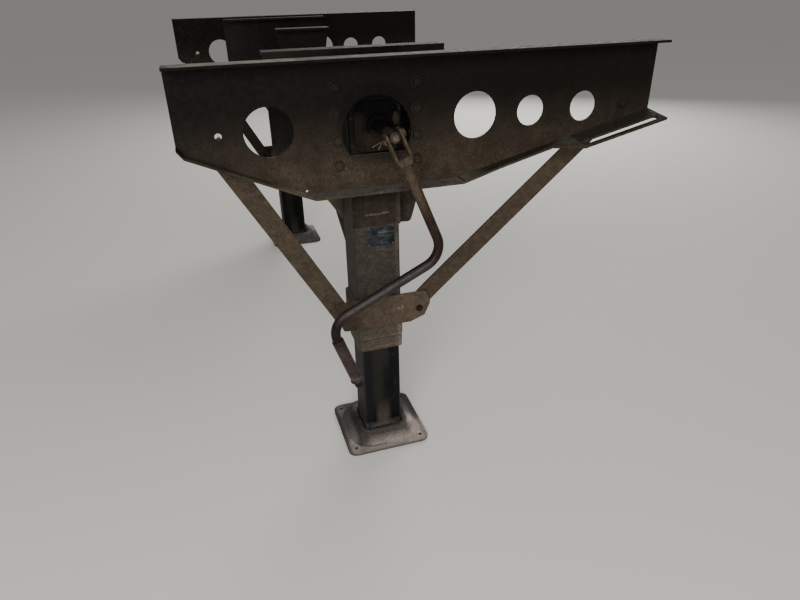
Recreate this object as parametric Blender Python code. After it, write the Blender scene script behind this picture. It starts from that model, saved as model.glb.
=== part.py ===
# Landing gear set of a semi trailer: two telescoping legs under their hanger plates,
# with braces, feet, the cross shaft that drives the far leg, and the folding hand crank.
#
# Frame: metres, +X along the trailer, +Y inboard from the near (crank) side, +Z up.
# The origin is on the ground, on the near leg's axis. The far side mirrors the near side.
import bmesh
import bpy
from math import cos, pi, radians, sin, tan
from mathutils import Matrix, Vector

INCH = 0.0254
MM = 0.001

# Fits
SEAT_GAP = 0.3 * MM            # between faces that touch on the real gear
SLIDE_GAP = 0.4 * MM           # leg guides and shafts in their bores
OVERRUN = 5.0 * MM             # how far a cutter runs past what it cuts
MERGE = 0.01 * MM              # points closer than this are one

# Stance
TRACK = 1.74                   # near leg's axis to far leg's axis
GEAR_TOP = 1.130               # underside of the trailer's crossmembers
SHAFT_Z = 0.973                # axis of the crank and cross shaft
HEAD_TOP = 1.085

# Outer tube, a square steel section
TUBE_SIDE = 5.0 * INCH
TUBE_WALL = 3.0 / 16.0 * INCH
TUBE_CORNER = 12.0 * MM
TUBE_BOTTOM = 0.325
TUBE_GUIDE_HEIGHT = 22.0 * MM  # narrowed bore at the mouth, where the inner leg runs
BAND_LOW_TOP = 0.363           # wear band round the mouth
BAND_LOW_PROUD = 1.5 * MM
BAND_HIGH_PROUD = 3.0 * MM

# Inner leg
LEG_CLEARANCE = INCH / 16.0    # to the tube's bore, on each side
LEG_SIDE = TUBE_SIDE - 2.0 * TUBE_WALL - 2.0 * LEG_CLEARANCE
LEG_WALL = 7.0 * MM
LEG_CORNER = 11.0 * MM
LEG_TOP = 0.660
GUIDE_HEIGHT = 30.0 * MM       # block in the leg's top that carries the lifting nut
GUIDE_BORE = 34.0 * MM

# Foot, a pressed square pan with a raised ring round the leg
FOOT_SIDE = 10.0 * INCH
FOOT_CORNER = 26.0 * MM
FOOT_RIM = 8.0 * MM            # height of the pan's flat edge
FOOT_FLOOR = 12.0 * MM         # height of the pocket's floor, which the leg stands on
RING_TOP = 44.0 * MM
POCKET_GAP = 5.0 * MM          # round the leg
RING_LIP = 14.0 * MM           # from the pocket's edge out to the ring's crest
RING_CREST = 17.0 * MM         # and on to its shoulder
RING_SLOPE = 18.0 * MM         # and on down to its foot
RING_CREST_CORNER = 30.0 * MM  # corner radii of its crest, shoulder and foot
RING_SHOULDER_CORNER = 50.0 * MM
RING_FOOT_CORNER = 70.0 * MM
RING_SHOULDER_DROP = 6.0 * MM
RING_LIP_DROP = 4.0 * MM
RING_SPREAD_RISE = 4.0 * MM    # the pan rises this much from its edge to the ring's foot
FOOT_HOLE_INSET = 24.0 * MM
FOOT_HOLE_RADIUS = 5.5 * MM

# Wing plate, the outer hanger that is bolted under the crossmembers
WING_FACE_Y = -0.100           # its outer face
WING_THICK = 6.0 * MM
WING_LEFT = -0.4585
WING_RIGHT = 30.0 * INCH
WING_FLAT_Z = 0.819            # underside of its lowest flat
WING_FLAT_LEFT = -0.180
WING_FLAT_RIGHT = 0.209
WING_RIGHT_Z = 0.951
WING_CORNER_X = -0.445
WING_CORNER_Z = 0.938
WING_LEFT_Z = 0.957
WING_FLANGE = 48.0 * MM
WING_NARROW_FLANGE = 28.0 * MM   # along the left slope
WING_FLANGE_STEP = 14.0 * MM   # from the narrow flange to the full one
WING_TIP_FLANGE = 83.0 * MM    # at the right end, where the flange spreads
WING_LIFT_X = 0.306            # the flange's outer edge lifts here
WING_LIFT = 5.5 * MM
WING_CREST_X = 0.453           # and is highest here
WING_CREST_LIFT = 8.5 * MM
WING_SPREAD_X = 0.527          # from here on the flange is spread, and droops
WING_SPREAD_DROOP = 8.5 * MM
WING_TIP_DROOP = 11.0 * MM
WING_TOP_FLANGE = 50.0 * MM
WING_SLOT_START_X = 0.512
WING_SLOT_LEFT = 0.545
WING_SLOT_RIGHT = 0.747
WING_SLOT_INNER = 49.0 * MM    # slot's near edge, from the plate's face
WING_SLOT_OUTER = 71.0 * MM
WING_SLOT_CORNER = 8.0 * MM
WING_HOLE_Z = 0.976
WING_HOLE_START = 10.0 * INCH
WING_HOLE_PITCH = 6.0 * INCH
WING_LARGE_HOLE = 57.0 * MM    # radius
WING_SMALL_HOLE = 38.0 * MM
WING_BOLT_HOLE = 8.0 * MM
WING_BOLT_LEFT = -0.3655
WING_BOLT_RIGHT = 0.6735
WING_RELIEF_RADIUS = 3.5 * MM  # at the left end of the lowest flat
WING_OPENING_Z = 0.957         # round opening in front of the gear head, with a level bottom
WING_OPENING_RADIUS = 85.0 * MM
WING_OPENING_BOTTOM = 0.905

# Inner hanger plate, flared, on the inboard face of the leg
HANGER_THICK = 8.0 * MM
HANGER_BOTTOM = 0.656
HANGER_HALF = 0.233            # half its width at the top
HANGER_SHOULDER_Z = 0.900
HANGER_TOP_FLANGE = 50.0 * MM
HANGER_LEFT_FOOT_X = -0.049
HANGER_LEFT_FOOT_Z = 0.668
HANGER_LEFT_KNEE_X = -0.104
HANGER_LEFT_KNEE_Z = 0.751
HANGER_RIGHT_FOOT_X = 0.1355
HANGER_RIGHT_KNEE_X = 0.158
HANGER_RIGHT_KNEE_Z = 0.733
HANGER_LOBE = 24.0 * MM        # corner radius of the right lobe

# Gear head on the outer face of the leg
HEAD_BOTTOM = 0.706
HEAD_HALF = 63.5 * MM
HEAD_STEP_Z = 0.800            # the case is deeper above this height
HEAD_LOWER_PROUD = 5.0 * MM    # of the tube's face, below the step
HEAD_PLATE_THICK = 8.0 * MM
HEAD_PLATE_HALF = 0.125
HEAD_PLATE_BOTTOM = 0.845
HEAD_OPENING_MARGIN = 3.0 * MM  # the head plate's opening is this much larger
HEAD_CAP_THICK = 8.0 * MM
HEAD_CAP_LIP = 3.0 * MM
PANEL_LEFT = -0.036            # raised panel under the plate
PANEL_RIGHT = 0.050
PANEL_BOTTOM = 0.738
PANEL_PROUD = 3.0 * MM
PANEL_CORNER = 10.0 * MM

# Gear cover in the round opening
COVER_HALF = 55.0 * MM
COVER_BOTTOM = 0.910
COVER_TOP = 1.028
COVER_CORNER = 32.0 * MM
COVER_THICK = 13.0 * MM
COVER_BOSS_RADIUS = 26.0 * MM
COVER_BOSS_LENGTH = 13.0 * MM

# Collar that ties the braces to the tube
COLLAR_BOTTOM = 0.4055
COLLAR_TOP = 0.476
COLLAR_WALL = 9.0 * MM
COLLAR_PLATE = 8.0 * MM
COLLAR_PLATE_BOTTOM = 0.408
COLLAR_PLATE_TOP = 0.500
# its front plate, anticlockwise from the lower left corner: x as a share of the tube's side,
# height as a share of the plate's own
COLLAR_SHARES = (
    (-0.87, 0.04),
    (0.67, 0.00),
    (1.00, 0.17),
    (1.14, 0.59),
    (1.04, 1.00),
    (-1.06, 1.00),
)
COLLAR_CORNER = 9.0 * MM

# Braces, flat bars with bent ends
BRACE_WIDTH = 2.0 * INCH
BRACE_THICK = 8.0 * MM
BRACE_END = 62.0 * MM          # straight end that lies flat on its plate
FRONT_BRACE_TOP_X = -0.373
FRONT_BRACE_TOP_Z = 0.940
FRONT_BRACE_FOOT_X = -0.109
FRONT_BRACE_FOOT_Z = 0.460
REAR_BRACE_TOP_X = 0.613
REAR_BRACE_TOP_Z = 0.924
REAR_BRACE_FOOT_X = 0.111
REAR_BRACE_FOOT_Z = 0.467
SWAY_FOOT_Z = 0.415
SWAY_TOP_Z = 0.935             # under the cross shaft

# Centre bracket under the middle crossmember
BRACKET_HALF = 95.0 * MM
BRACKET_BOTTOM = 0.862
BRACKET_TAIL_HALF = 45.0 * MM
BRACKET_THICK = 8.0 * MM
BRACKET_FLANGE = 60.0 * MM
BRACKET_HOLE_RADIUS = 22.0 * MM  # the cross shaft turns clear inside it

# Shafts
SHAFT_RADIUS = 12.5 * MM
SHAFT_EYE_REACH = 15.0 * MM    # past the crank's pin
CROSS_RADIUS = 14.0 * MM
COUPLING_RADIUS = 21.0 * MM
COUPLING_LENGTH = 70.0 * MM
COUPLING_STANDOFF = 12.0 * MM  # from the hanger plate

# Crank, which hangs from a pin through the input shaft's end
CRANK_Y = -0.236
CRANK_ARM_LENGTH = 0.322       # pin to knee
CRANK_ARM_LEAN = 22.4          # degrees from plumb, to the rear
CRANK_REACH_LENGTH = 0.331     # knee to elbow
CRANK_REACH_FALL = 25.8        # degrees below level, to the front
CRANK_HANDLE_LENGTH = 0.202    # elbow to tip
CRANK_HANDLE_LEAN = 18.8       # degrees from plumb, to the rear
CRANK_BEND = 55.0 * MM
ROD_RADIUS = 12.25 * MM
YOKE_GAP = 28.0 * MM
YOKE_STRAP = 6.0 * MM
YOKE_WIDTH = 26.0 * MM
YOKE_DEPTH = 50.0 * MM         # pin to the inside of the yoke's bottom
YOKE_HORN = 13.0 * MM          # past the pin
YOKE_NECK = 14.0 * MM
PIN_RADIUS = 6.0 * MM
PIN_HOLE_RADIUS = 6.5 * MM
PIN_HEAD_RADIUS = 10.0 * MM
PIN_HEAD_THICK = 6.0 * MM
PIN_TAIL = 9.0 * MM
GRIP_RADIUS = 15.5 * MM
GRIP_START = 48.0 * MM         # from the elbow
GRIP_LENGTH = 138.0 * MM
GRIP_RING_RADIUS = 17.5 * MM
GRIP_RING_WIDTH = 7.0 * MM

# Facets
CORNER_STEPS = 4
FOOT_STEPS = 6
BEND_STEPS = 8
ROD_SIDES = 16
HOLE_SIDES = 32
SHAFT_SIDES = 24

# name: red, green, blue, roughness, metallic
FINISHES = {
    "plate_paint": (0.060, 0.048, 0.042, 0.70, 0.3),
    "tube_paint": (0.075, 0.060, 0.050, 0.65, 0.3),
    "rusty_steel": (0.150, 0.100, 0.070, 0.80, 0.4),
    "greasy_steel": (0.022, 0.022, 0.024, 0.35, 0.6),
    "dusty_steel": (0.200, 0.180, 0.160, 0.75, 0.4),
    "crank_paint": (0.110, 0.060, 0.050, 0.60, 0.3),
    "grip_paint": (0.150, 0.055, 0.050, 0.55, 0.2),
}


def clear_scene():
    for thing in list(bpy.data.objects):
        bpy.data.objects.remove(thing, do_unlink=True)


def make_finishes():
    made = {}
    for name, (red, green, blue, roughness, metallic) in FINISHES.items():
        finish = bpy.data.materials.new(name)
        finish.use_nodes = True
        shader = finish.node_tree.nodes["Principled BSDF"]
        shader.inputs["Base Color"].default_value = (red, green, blue, 1.0)
        shader.inputs["Roughness"].default_value = roughness
        shader.inputs["Metallic"].default_value = metallic
        made[name] = finish
    return made


# Outlines

def circle(radius, sides, centre=(0.0, 0.0)):
    """Points round a circle, with a flat facing each axis."""
    turn = 2.0 * pi / sides
    return [(centre[0] + radius * cos((i + 0.5) * turn), centre[1] + radius * sin((i + 0.5) * turn))
            for i in range(sides)]


def rounded(corners, radius, steps=CORNER_STEPS):
    """The outline through some corners, each of them turned into an arc of one radius."""
    points = []
    count = len(corners)
    for i in range(count):
        here = Vector(corners[i])
        back = (Vector(corners[i - 1]) - here).normalized()
        ahead = (Vector(corners[(i + 1) % count]) - here).normalized()
        half = back.angle(ahead) / 2.0
        centre = here + (back + ahead).normalized() * radius / sin(half)
        start = here + back * radius / tan(half) - centre
        end = here + ahead * radius / tan(half) - centre
        sweep = start.angle_signed(end)
        for k in range(steps + 1):
            turn = -sweep * k / steps
            points.append((centre.x + start.x * cos(turn) - start.y * sin(turn),
                           centre.y + start.x * sin(turn) + start.y * cos(turn)))
    return points


def rounded_square(side, corner, steps=CORNER_STEPS):
    half = side / 2.0
    return rounded(((-half, -half), (half, -half), (half, half), (-half, half)), corner, steps)


# Ways to place an outline in the part's frame

def on_xz(y):
    return lambda point: Vector((point[0], y, point[1]))


def on_xy(z, centre_y=0.0):
    return lambda point: Vector((point[0], point[1] + centre_y, z))


# Solids

def add_loop(bm, points):
    verts = [bm.verts.new(point) for point in points]
    return [bm.edges.new((verts[i - 1], verts[i])) for i in range(len(verts))]


def add_slab(bm, loops, place, depth):
    """A flat plate: its outline and its holes filled, then given its thickness."""
    edges = []
    for loop in loops:
        edges += add_loop(bm, [place(point) for point in loop])
    filled = bmesh.ops.triangle_fill(bm, use_beauty=True, use_dissolve=False, edges=edges)
    faces = [item for item in filled["geom"] if isinstance(item, bmesh.types.BMFace)]
    raised = bmesh.ops.extrude_face_region(bm, geom=faces)
    verts = [item for item in raised["geom"] if isinstance(item, bmesh.types.BMVert)]
    bmesh.ops.translate(bm, verts=verts, vec=depth)


def add_rings(bm, rings, closed=False):
    """A skin through rings of points. Closed joins the last to the first, or else both ends are capped."""
    loops = [[bm.verts.new(point) for point in ring] for ring in rings]
    pairs = list(zip(loops, loops[1:]))
    if closed:
        pairs.append((loops[-1], loops[0]))
    for low, high in pairs:
        for i in range(len(low)):
            bm.faces.new((low[i - 1], low[i], high[i], high[i - 1]))
    if not closed:
        bm.faces.new(loops[0])
        bm.faces.new(loops[-1])


def add_turned(bm, profile, sides, closed=False):
    """A round piece along Y at the shaft's height, from pairs of a radius and a y."""
    rings = []
    for radius, y in profile:
        rings.append([Vector((x, y, SHAFT_Z + z)) for x, z in circle(radius, sides)])
    add_rings(bm, rings, closed)


def add_bent_bar(bm, path, across, thick):
    """A flat bar along a path, bent about the direction across, which also gives its width."""
    side = across.normalized()
    runs = [(path[i + 1] - path[i]).normalized() for i in range(len(path) - 1)]
    normals = [side.cross(run).normalized() for run in runs]
    upper = []
    lower = []
    for i, point in enumerate(path):
        before = normals[max(i - 1, 0)]
        after = normals[min(i, len(normals) - 1)]
        mitre = (before + after).normalized()
        reach = thick / 2.0 / mitre.dot(after)
        upper.append(point + mitre * reach)
        lower.append(point - mitre * reach)
    outline = upper + lower[::-1]
    rings = [[point + side * across.length * share for point in outline] for share in (-0.5, 0.5)]
    add_rings(bm, rings)


def add_rod(bm, path, bend, radius, sides):
    """A round bar with its corners bent to one radius, drawn by extruding and spinning its end."""
    runs = [(path[i + 1] - path[i]).normalized() for i in range(len(path) - 1)]
    start = Matrix.Translation(path[0]) @ runs[0].to_track_quat("Z", "Y").to_matrix().to_4x4()
    disc = bmesh.ops.create_circle(bm, cap_ends=True, segments=sides, radius=radius, matrix=start)
    end = list({face for vert in disc["verts"] for face in vert.link_faces})
    here = path[0]
    for i in range(1, len(path)):
        bent = i < len(runs)
        stop = path[i]
        if bent:
            turn = runs[i - 1].angle(runs[i])
            stop = path[i] - runs[i - 1] * bend * tan(turn / 2.0)
        grown = bmesh.ops.extrude_face_region(bm, geom=end)["geom"]
        verts = [item for item in grown if isinstance(item, bmesh.types.BMVert)]
        bmesh.ops.translate(bm, verts=verts, vec=stop - here)
        if i > 1:
            bmesh.ops.delete(bm, geom=end, context="FACES_ONLY")
        end = [item for item in grown if isinstance(item, bmesh.types.BMFace)]
        here = stop
        if bent:
            axis = runs[i - 1].cross(runs[i]).normalized()
            centre = here + axis.cross(runs[i - 1]) * bend
            spun = bmesh.ops.spin(bm, geom=end, cent=centre, axis=axis, angle=turn, steps=BEND_STEPS)
            bmesh.ops.delete(bm, geom=end, context="FACES_ONLY")
            end = [item for item in spun["geom_last"] if isinstance(item, bmesh.types.BMFace)]
            here = path[i] + runs[i] * bend * tan(turn / 2.0)


# Objects

def make_object(name, bm, finish=None):
    bmesh.ops.remove_doubles(bm, verts=bm.verts[:], dist=MERGE)
    bmesh.ops.recalc_face_normals(bm, faces=bm.faces[:])
    mesh = bpy.data.meshes.new(name)
    bm.to_mesh(mesh)
    bm.free()
    made = bpy.data.objects.new(name, mesh)
    bpy.context.scene.collection.objects.link(made)
    if finish:
        mesh.materials.append(finish)
    return made


def combine(body, tool_bm, operation):
    """Join a tool to a body, or cut it out, and keep the result as the body's mesh."""
    tool = make_object(body.name + "_tool", tool_bm)
    change = body.modifiers.new(operation.lower(), "BOOLEAN")
    change.operation = operation
    change.solver = "EXACT"
    change.object = tool
    graph = bpy.context.evaluated_depsgraph_get()
    result = bpy.data.meshes.new_from_object(body.evaluated_get(graph))
    body.modifiers.clear()
    body.data = result
    bpy.data.objects.remove(tool, do_unlink=True)


def shade(made):
    made.data.shade_smooth()
    made.data.set_sharp_from_angle(angle=radians(35.0))


def mirror_across(near, name):
    """The far side's copy: the near piece mirrored about the middle of the trailer."""
    bm = bmesh.new()
    bm.from_mesh(near.data)
    flip = Matrix.Translation((0.0, TRACK, 0.0)) @ Matrix.Scale(-1.0, 4, (0.0, 1.0, 0.0))
    bmesh.ops.transform(bm, matrix=flip, verts=bm.verts[:])
    bmesh.ops.reverse_faces(bm, faces=bm.faces[:])
    mesh = bpy.data.meshes.new(name)
    bm.to_mesh(mesh)
    bm.free()
    mesh.materials.append(near.data.materials[0])
    far = bpy.data.objects.new(name, mesh)
    bpy.context.scene.collection.objects.link(far)
    return far


def finish_pair(near, stem):
    shade(near)
    shade(mirror_across(near, stem + "_far"))


# The pieces

def wing_slope_z(x):
    """Height of the lower edge's right slope."""
    share = (x - WING_FLAT_RIGHT) / (WING_RIGHT - WING_FLAT_RIGHT)
    return WING_FLAT_Z + share * (WING_RIGHT_Z - WING_FLAT_Z)


def wing_stations():
    """Along the lower edge: x, height, the flange's width there, and its outer edge's lift."""
    return (
        (WING_LEFT, WING_LEFT_Z, WING_NARROW_FLANGE, 0.0),
        (WING_CORNER_X, WING_CORNER_Z, WING_NARROW_FLANGE, 0.0),
        (WING_FLAT_LEFT, WING_FLAT_Z, WING_NARROW_FLANGE, 0.0),
        (WING_FLAT_LEFT + WING_FLANGE_STEP, WING_FLAT_Z, WING_FLANGE, 0.0),
        (WING_FLAT_RIGHT, WING_FLAT_Z, WING_FLANGE, 0.0),
        (WING_LIFT_X, wing_slope_z(WING_LIFT_X), WING_FLANGE, WING_LIFT),
        (WING_CREST_X, wing_slope_z(WING_CREST_X), WING_FLANGE, WING_CREST_LIFT),
        (WING_SPREAD_X, wing_slope_z(WING_SPREAD_X), WING_TIP_FLANGE, -WING_SPREAD_DROOP),
        (WING_RIGHT, WING_RIGHT_Z, WING_TIP_FLANGE, -WING_TIP_DROOP),
    )


def wing_holes():
    """Its round holes: x, z and radius."""
    return (
        (-WING_HOLE_START, WING_HOLE_Z, WING_LARGE_HOLE),
        (WING_HOLE_START, WING_HOLE_Z, WING_LARGE_HOLE),
        (WING_HOLE_START + WING_HOLE_PITCH, WING_HOLE_Z, WING_SMALL_HOLE),
        (WING_HOLE_START + 2.0 * WING_HOLE_PITCH, WING_HOLE_Z, WING_SMALL_HOLE),
        (WING_BOLT_LEFT, WING_HOLE_Z, WING_BOLT_HOLE),
        (WING_BOLT_RIGHT, WING_HOLE_Z, WING_BOLT_HOLE),
        (WING_FLAT_LEFT, WING_FLAT_Z + WING_THICK + 1.5 * WING_RELIEF_RADIUS, WING_RELIEF_RADIUS),
    )


def opening_outline(margin):
    """The opening in front of the gear head, made larger all round by a margin."""
    radius = WING_OPENING_RADIUS + margin
    bottom = WING_OPENING_BOTTOM - margin
    half = (radius ** 2 - (WING_OPENING_Z - bottom) ** 2) ** 0.5
    round_part = [(x, z) for x, z in circle(radius, HOLE_SIDES, (0.0, WING_OPENING_Z)) if z > bottom + MM]
    right = sorted((point for point in round_part if point[0] > 0.0), key=lambda point: point[1])
    left = [(-x, z) for x, z in reversed(right)]
    return [(-half, bottom), (half, bottom)] + right + left


def make_wing_plate(finish):
    root = WING_FACE_Y + WING_THICK / 2.0
    stations = wing_stations()
    bm = bmesh.new()
    rings = []
    for x, z, width, lift in stations:
        edge_y = WING_FACE_Y - width
        rings.append([Vector((x, root, z)), Vector((x, edge_y, z + lift)),
                      Vector((x, edge_y, z + lift + WING_THICK)), Vector((x, root, z + WING_THICK))])
    add_rings(bm, rings)
    bmesh.ops.triangulate(bm, faces=bm.faces[:])
    wing = make_object("wing_plate_near", bm, finish)

    slot = rounded(((WING_SLOT_START_X, WING_FACE_Y - WING_SLOT_INNER),
                    (WING_SLOT_LEFT, WING_FACE_Y - WING_SLOT_OUTER),
                    (WING_SLOT_RIGHT, WING_FACE_Y - WING_SLOT_OUTER),
                    (WING_SLOT_RIGHT, WING_FACE_Y - WING_SLOT_INNER)), WING_SLOT_CORNER)
    bm = bmesh.new()
    add_slab(bm, [slot], on_xy(WING_FLAT_Z), Vector((0.0, 0.0, GEAR_TOP - WING_FLAT_Z)))
    combine(wing, bm, "DIFFERENCE")

    outline = [(x, z) for x, z, width, lift in stations] + [(WING_RIGHT, GEAR_TOP), (WING_LEFT, GEAR_TOP)]
    holes = [circle(radius, HOLE_SIDES, (x, z)) for x, z, radius in wing_holes()]
    holes.append(opening_outline(0.0))
    bm = bmesh.new()
    add_slab(bm, [outline] + holes, on_xz(WING_FACE_Y), Vector((0.0, WING_THICK, 0.0)))
    combine(wing, bm, "UNION")

    bm = bmesh.new()
    top = [(WING_LEFT, GEAR_TOP - WING_THICK), (WING_RIGHT, GEAR_TOP - WING_THICK),
           (WING_RIGHT, GEAR_TOP), (WING_LEFT, GEAR_TOP)]
    top_y = WING_FACE_Y - WING_TOP_FLANGE
    add_slab(bm, [top], on_xz(top_y), Vector((0.0, root - top_y, 0.0)))
    combine(wing, bm, "UNION")
    finish_pair(wing, "wing_plate")


def make_inner_hanger(finish):
    front = TUBE_SIDE / 2.0 + SEAT_GAP
    outline = [(HANGER_LEFT_FOOT_X, HANGER_LEFT_FOOT_Z), (HANGER_RIGHT_FOOT_X, HANGER_BOTTOM),
               (HANGER_RIGHT_KNEE_X, HANGER_RIGHT_KNEE_Z), (HANGER_HALF, HANGER_SHOULDER_Z),
               (HANGER_HALF, GEAR_TOP), (-HANGER_HALF, GEAR_TOP), (-HANGER_HALF, HANGER_SHOULDER_Z),
               (HANGER_LEFT_KNEE_X, HANGER_LEFT_KNEE_Z)]
    hole = circle(CROSS_RADIUS + SLIDE_GAP, SHAFT_SIDES, (0.0, SHAFT_Z))
    bm = bmesh.new()
    add_slab(bm, [rounded(outline, HANGER_LOBE / 2.0, 2), hole], on_xz(front),
             Vector((0.0, HANGER_THICK, 0.0)))
    hanger = make_object("inner_hanger_near", bm, finish)
    bm = bmesh.new()
    top = [(-HANGER_HALF, GEAR_TOP - HANGER_THICK), (HANGER_HALF, GEAR_TOP - HANGER_THICK),
           (HANGER_HALF, GEAR_TOP), (-HANGER_HALF, GEAR_TOP)]
    add_slab(bm, [top], on_xz(front), Vector((0.0, HANGER_THICK + HANGER_TOP_FLANGE, 0.0)))
    combine(hanger, bm, "UNION")
    finish_pair(hanger, "inner_hanger")


def square_ring(side, corner, z, steps=CORNER_STEPS):
    place = on_xy(z)
    return [place(point) for point in rounded_square(side, corner, steps)]


def make_outer_tube(finish):
    bore = TUBE_SIDE - 2.0 * TUBE_WALL
    mouth = LEG_SIDE + 2.0 * SLIDE_GAP
    bore_corner = TUBE_CORNER - TUBE_WALL / 2.0
    guide_top = TUBE_BOTTOM + TUBE_GUIDE_HEIGHT
    # side, corner radius and height of each ring, up the outside and down the bore
    rings = (
        (TUBE_SIDE + 2.0 * BAND_LOW_PROUD, TUBE_CORNER, TUBE_BOTTOM),
        (TUBE_SIDE + 2.0 * BAND_LOW_PROUD, TUBE_CORNER, BAND_LOW_TOP),
        (TUBE_SIDE + 2.0 * BAND_HIGH_PROUD, TUBE_CORNER, BAND_LOW_TOP + BAND_HIGH_PROUD),
        (TUBE_SIDE + 2.0 * BAND_HIGH_PROUD, TUBE_CORNER, COLLAR_BOTTOM - BAND_HIGH_PROUD - SEAT_GAP),
        (TUBE_SIDE, TUBE_CORNER, COLLAR_BOTTOM - SEAT_GAP),
        (TUBE_SIDE, TUBE_CORNER, HEAD_TOP),
        (bore, bore_corner, HEAD_TOP),
        (bore, bore_corner, guide_top),
        (mouth, LEG_CORNER, guide_top),
        (mouth, LEG_CORNER, TUBE_BOTTOM),
    )
    bm = bmesh.new()
    add_rings(bm, [square_ring(*ring) for ring in rings], closed=True)
    finish_pair(make_object("outer_tube_near", bm, finish), "outer_tube")


def upright(left, right, low, high):
    """A rectangle's corners, as x and z."""
    return [(left, low), (right, low), (right, high), (left, high)]


def make_head_case(finish):
    tube_front = -TUBE_SIDE / 2.0 - SEAT_GAP
    plate_front = WING_FACE_Y + WING_THICK + SEAT_GAP
    case_front = plate_front + HEAD_PLATE_THICK
    lower_front = tube_front - HEAD_LOWER_PROUD
    bm = bmesh.new()
    plate = upright(-HEAD_PLATE_HALF, HEAD_PLATE_HALF, HEAD_PLATE_BOTTOM, HEAD_TOP)
    add_slab(bm, [plate, opening_outline(HEAD_OPENING_MARGIN)], on_xz(plate_front),
             Vector((0.0, HEAD_PLATE_THICK + PANEL_PROUD, 0.0)))
    head = make_object("head_case_near", bm, finish)
    cap_half = HEAD_HALF + HEAD_CAP_LIP
    cap_high = HEAD_TOP + HEAD_CAP_THICK
    lower = upright(-HEAD_HALF, HEAD_HALF, HEAD_BOTTOM, HEAD_STEP_Z + PANEL_PROUD)
    upper = upright(-HEAD_HALF, HEAD_HALF, HEAD_STEP_Z, cap_high)
    cap = upright(-cap_half, cap_half, HEAD_TOP + SEAT_GAP, cap_high)
    panel = rounded(upright(PANEL_LEFT, PANEL_RIGHT, PANEL_BOTTOM, HEAD_STEP_Z + PANEL_CORNER), PANEL_CORNER)
    # outline, and the y of its front and of its back
    for outline, front, back in (
        (upper, case_front, tube_front),
        (lower, lower_front, tube_front),
        (cap, case_front - PANEL_PROUD, TUBE_SIDE / 2.0),
        (panel, lower_front - PANEL_PROUD, lower_front + PANEL_PROUD),
    ):
        bm = bmesh.new()
        add_slab(bm, [outline], on_xz(front), Vector((0.0, back - front, 0.0)))
        combine(head, bm, "UNION")
    finish_pair(head, "head_case")


def cover_outline():
    return rounded(((-COVER_HALF, COVER_BOTTOM), (COVER_HALF, COVER_BOTTOM), (COVER_HALF, COVER_TOP),
                    (-COVER_HALF, COVER_TOP)), COVER_CORNER)


def make_gear_covers(finish):
    seat = WING_FACE_Y + WING_THICK + HEAD_PLATE_THICK
    face = seat - COVER_THICK
    bore = circle(SHAFT_RADIUS + SLIDE_GAP, SHAFT_SIDES, (0.0, SHAFT_Z))
    boss = circle(COVER_BOSS_RADIUS, SHAFT_SIDES, (0.0, SHAFT_Z))
    bm = bmesh.new()
    add_slab(bm, [cover_outline(), bore], on_xz(face), Vector((0.0, COVER_THICK, 0.0)))
    near = make_object("gear_cover_near", bm, finish)
    bm = bmesh.new()
    add_slab(bm, [boss, bore], on_xz(face - COVER_BOSS_LENGTH),
             Vector((0.0, COVER_BOSS_LENGTH + COVER_THICK / 2.0, 0.0)))
    combine(near, bm, "UNION")
    shade(near)
    bm = bmesh.new()
    add_slab(bm, [cover_outline()], on_xz(face), Vector((0.0, COVER_THICK, 0.0)))
    blank = make_object("gear_cover_blank", bm, finish)
    shade(mirror_across(blank, "gear_cover_far"))
    bpy.data.objects.remove(blank, do_unlink=True)


def make_collar(finish):
    inner = TUBE_SIDE + 2.0 * SEAT_GAP
    outer = TUBE_SIDE + 2.0 * COLLAR_WALL
    corner = TUBE_CORNER
    rings = ((outer, corner + COLLAR_WALL, COLLAR_BOTTOM), (outer, corner + COLLAR_WALL, COLLAR_TOP),
             (inner, corner, COLLAR_TOP), (inner, corner, COLLAR_BOTTOM))
    bm = bmesh.new()
    add_rings(bm, [square_ring(*ring) for ring in rings], closed=True)
    collar = make_object("collar_near", bm, finish)
    bm = bmesh.new()
    front = -outer / 2.0
    height = COLLAR_PLATE_TOP - COLLAR_PLATE_BOTTOM
    outline = [(TUBE_SIDE * x, COLLAR_PLATE_BOTTOM + height * z) for x, z in COLLAR_SHARES]
    add_slab(bm, [rounded(outline, COLLAR_CORNER, 3)], on_xz(front - COLLAR_PLATE),
             Vector((0.0, COLLAR_PLATE + SEAT_GAP, 0.0)))
    combine(collar, bm, "UNION")
    finish_pair(collar, "collar")


def make_fore_aft_brace(name, top_x, top_z, foot_x, foot_z, finish):
    """From behind the wing plate down to behind the collar's front plate."""
    half = BRACE_THICK / 2.0
    top_y = WING_FACE_Y + WING_THICK + SEAT_GAP + half
    foot_y = -(TUBE_SIDE / 2.0 + COLLAR_WALL) + 2.0 * SEAT_GAP + half
    along = Vector((foot_x - top_x, 0.0, foot_z - top_z)).normalized()
    across = Vector((along.z, 0.0, -along.x)) * BRACE_WIDTH
    start = Vector((top_x, top_y, top_z))
    end = Vector((foot_x, foot_y, foot_z))
    path = [start - along * BRACE_WIDTH / 2.0, start + along * BRACE_END, end - along * BRACE_END,
            end + along * BRACE_WIDTH / 2.0]
    bm = bmesh.new()
    add_bent_bar(bm, path, across, BRACE_THICK)
    finish_pair(make_object(name + "_near", bm, finish), name)


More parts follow.
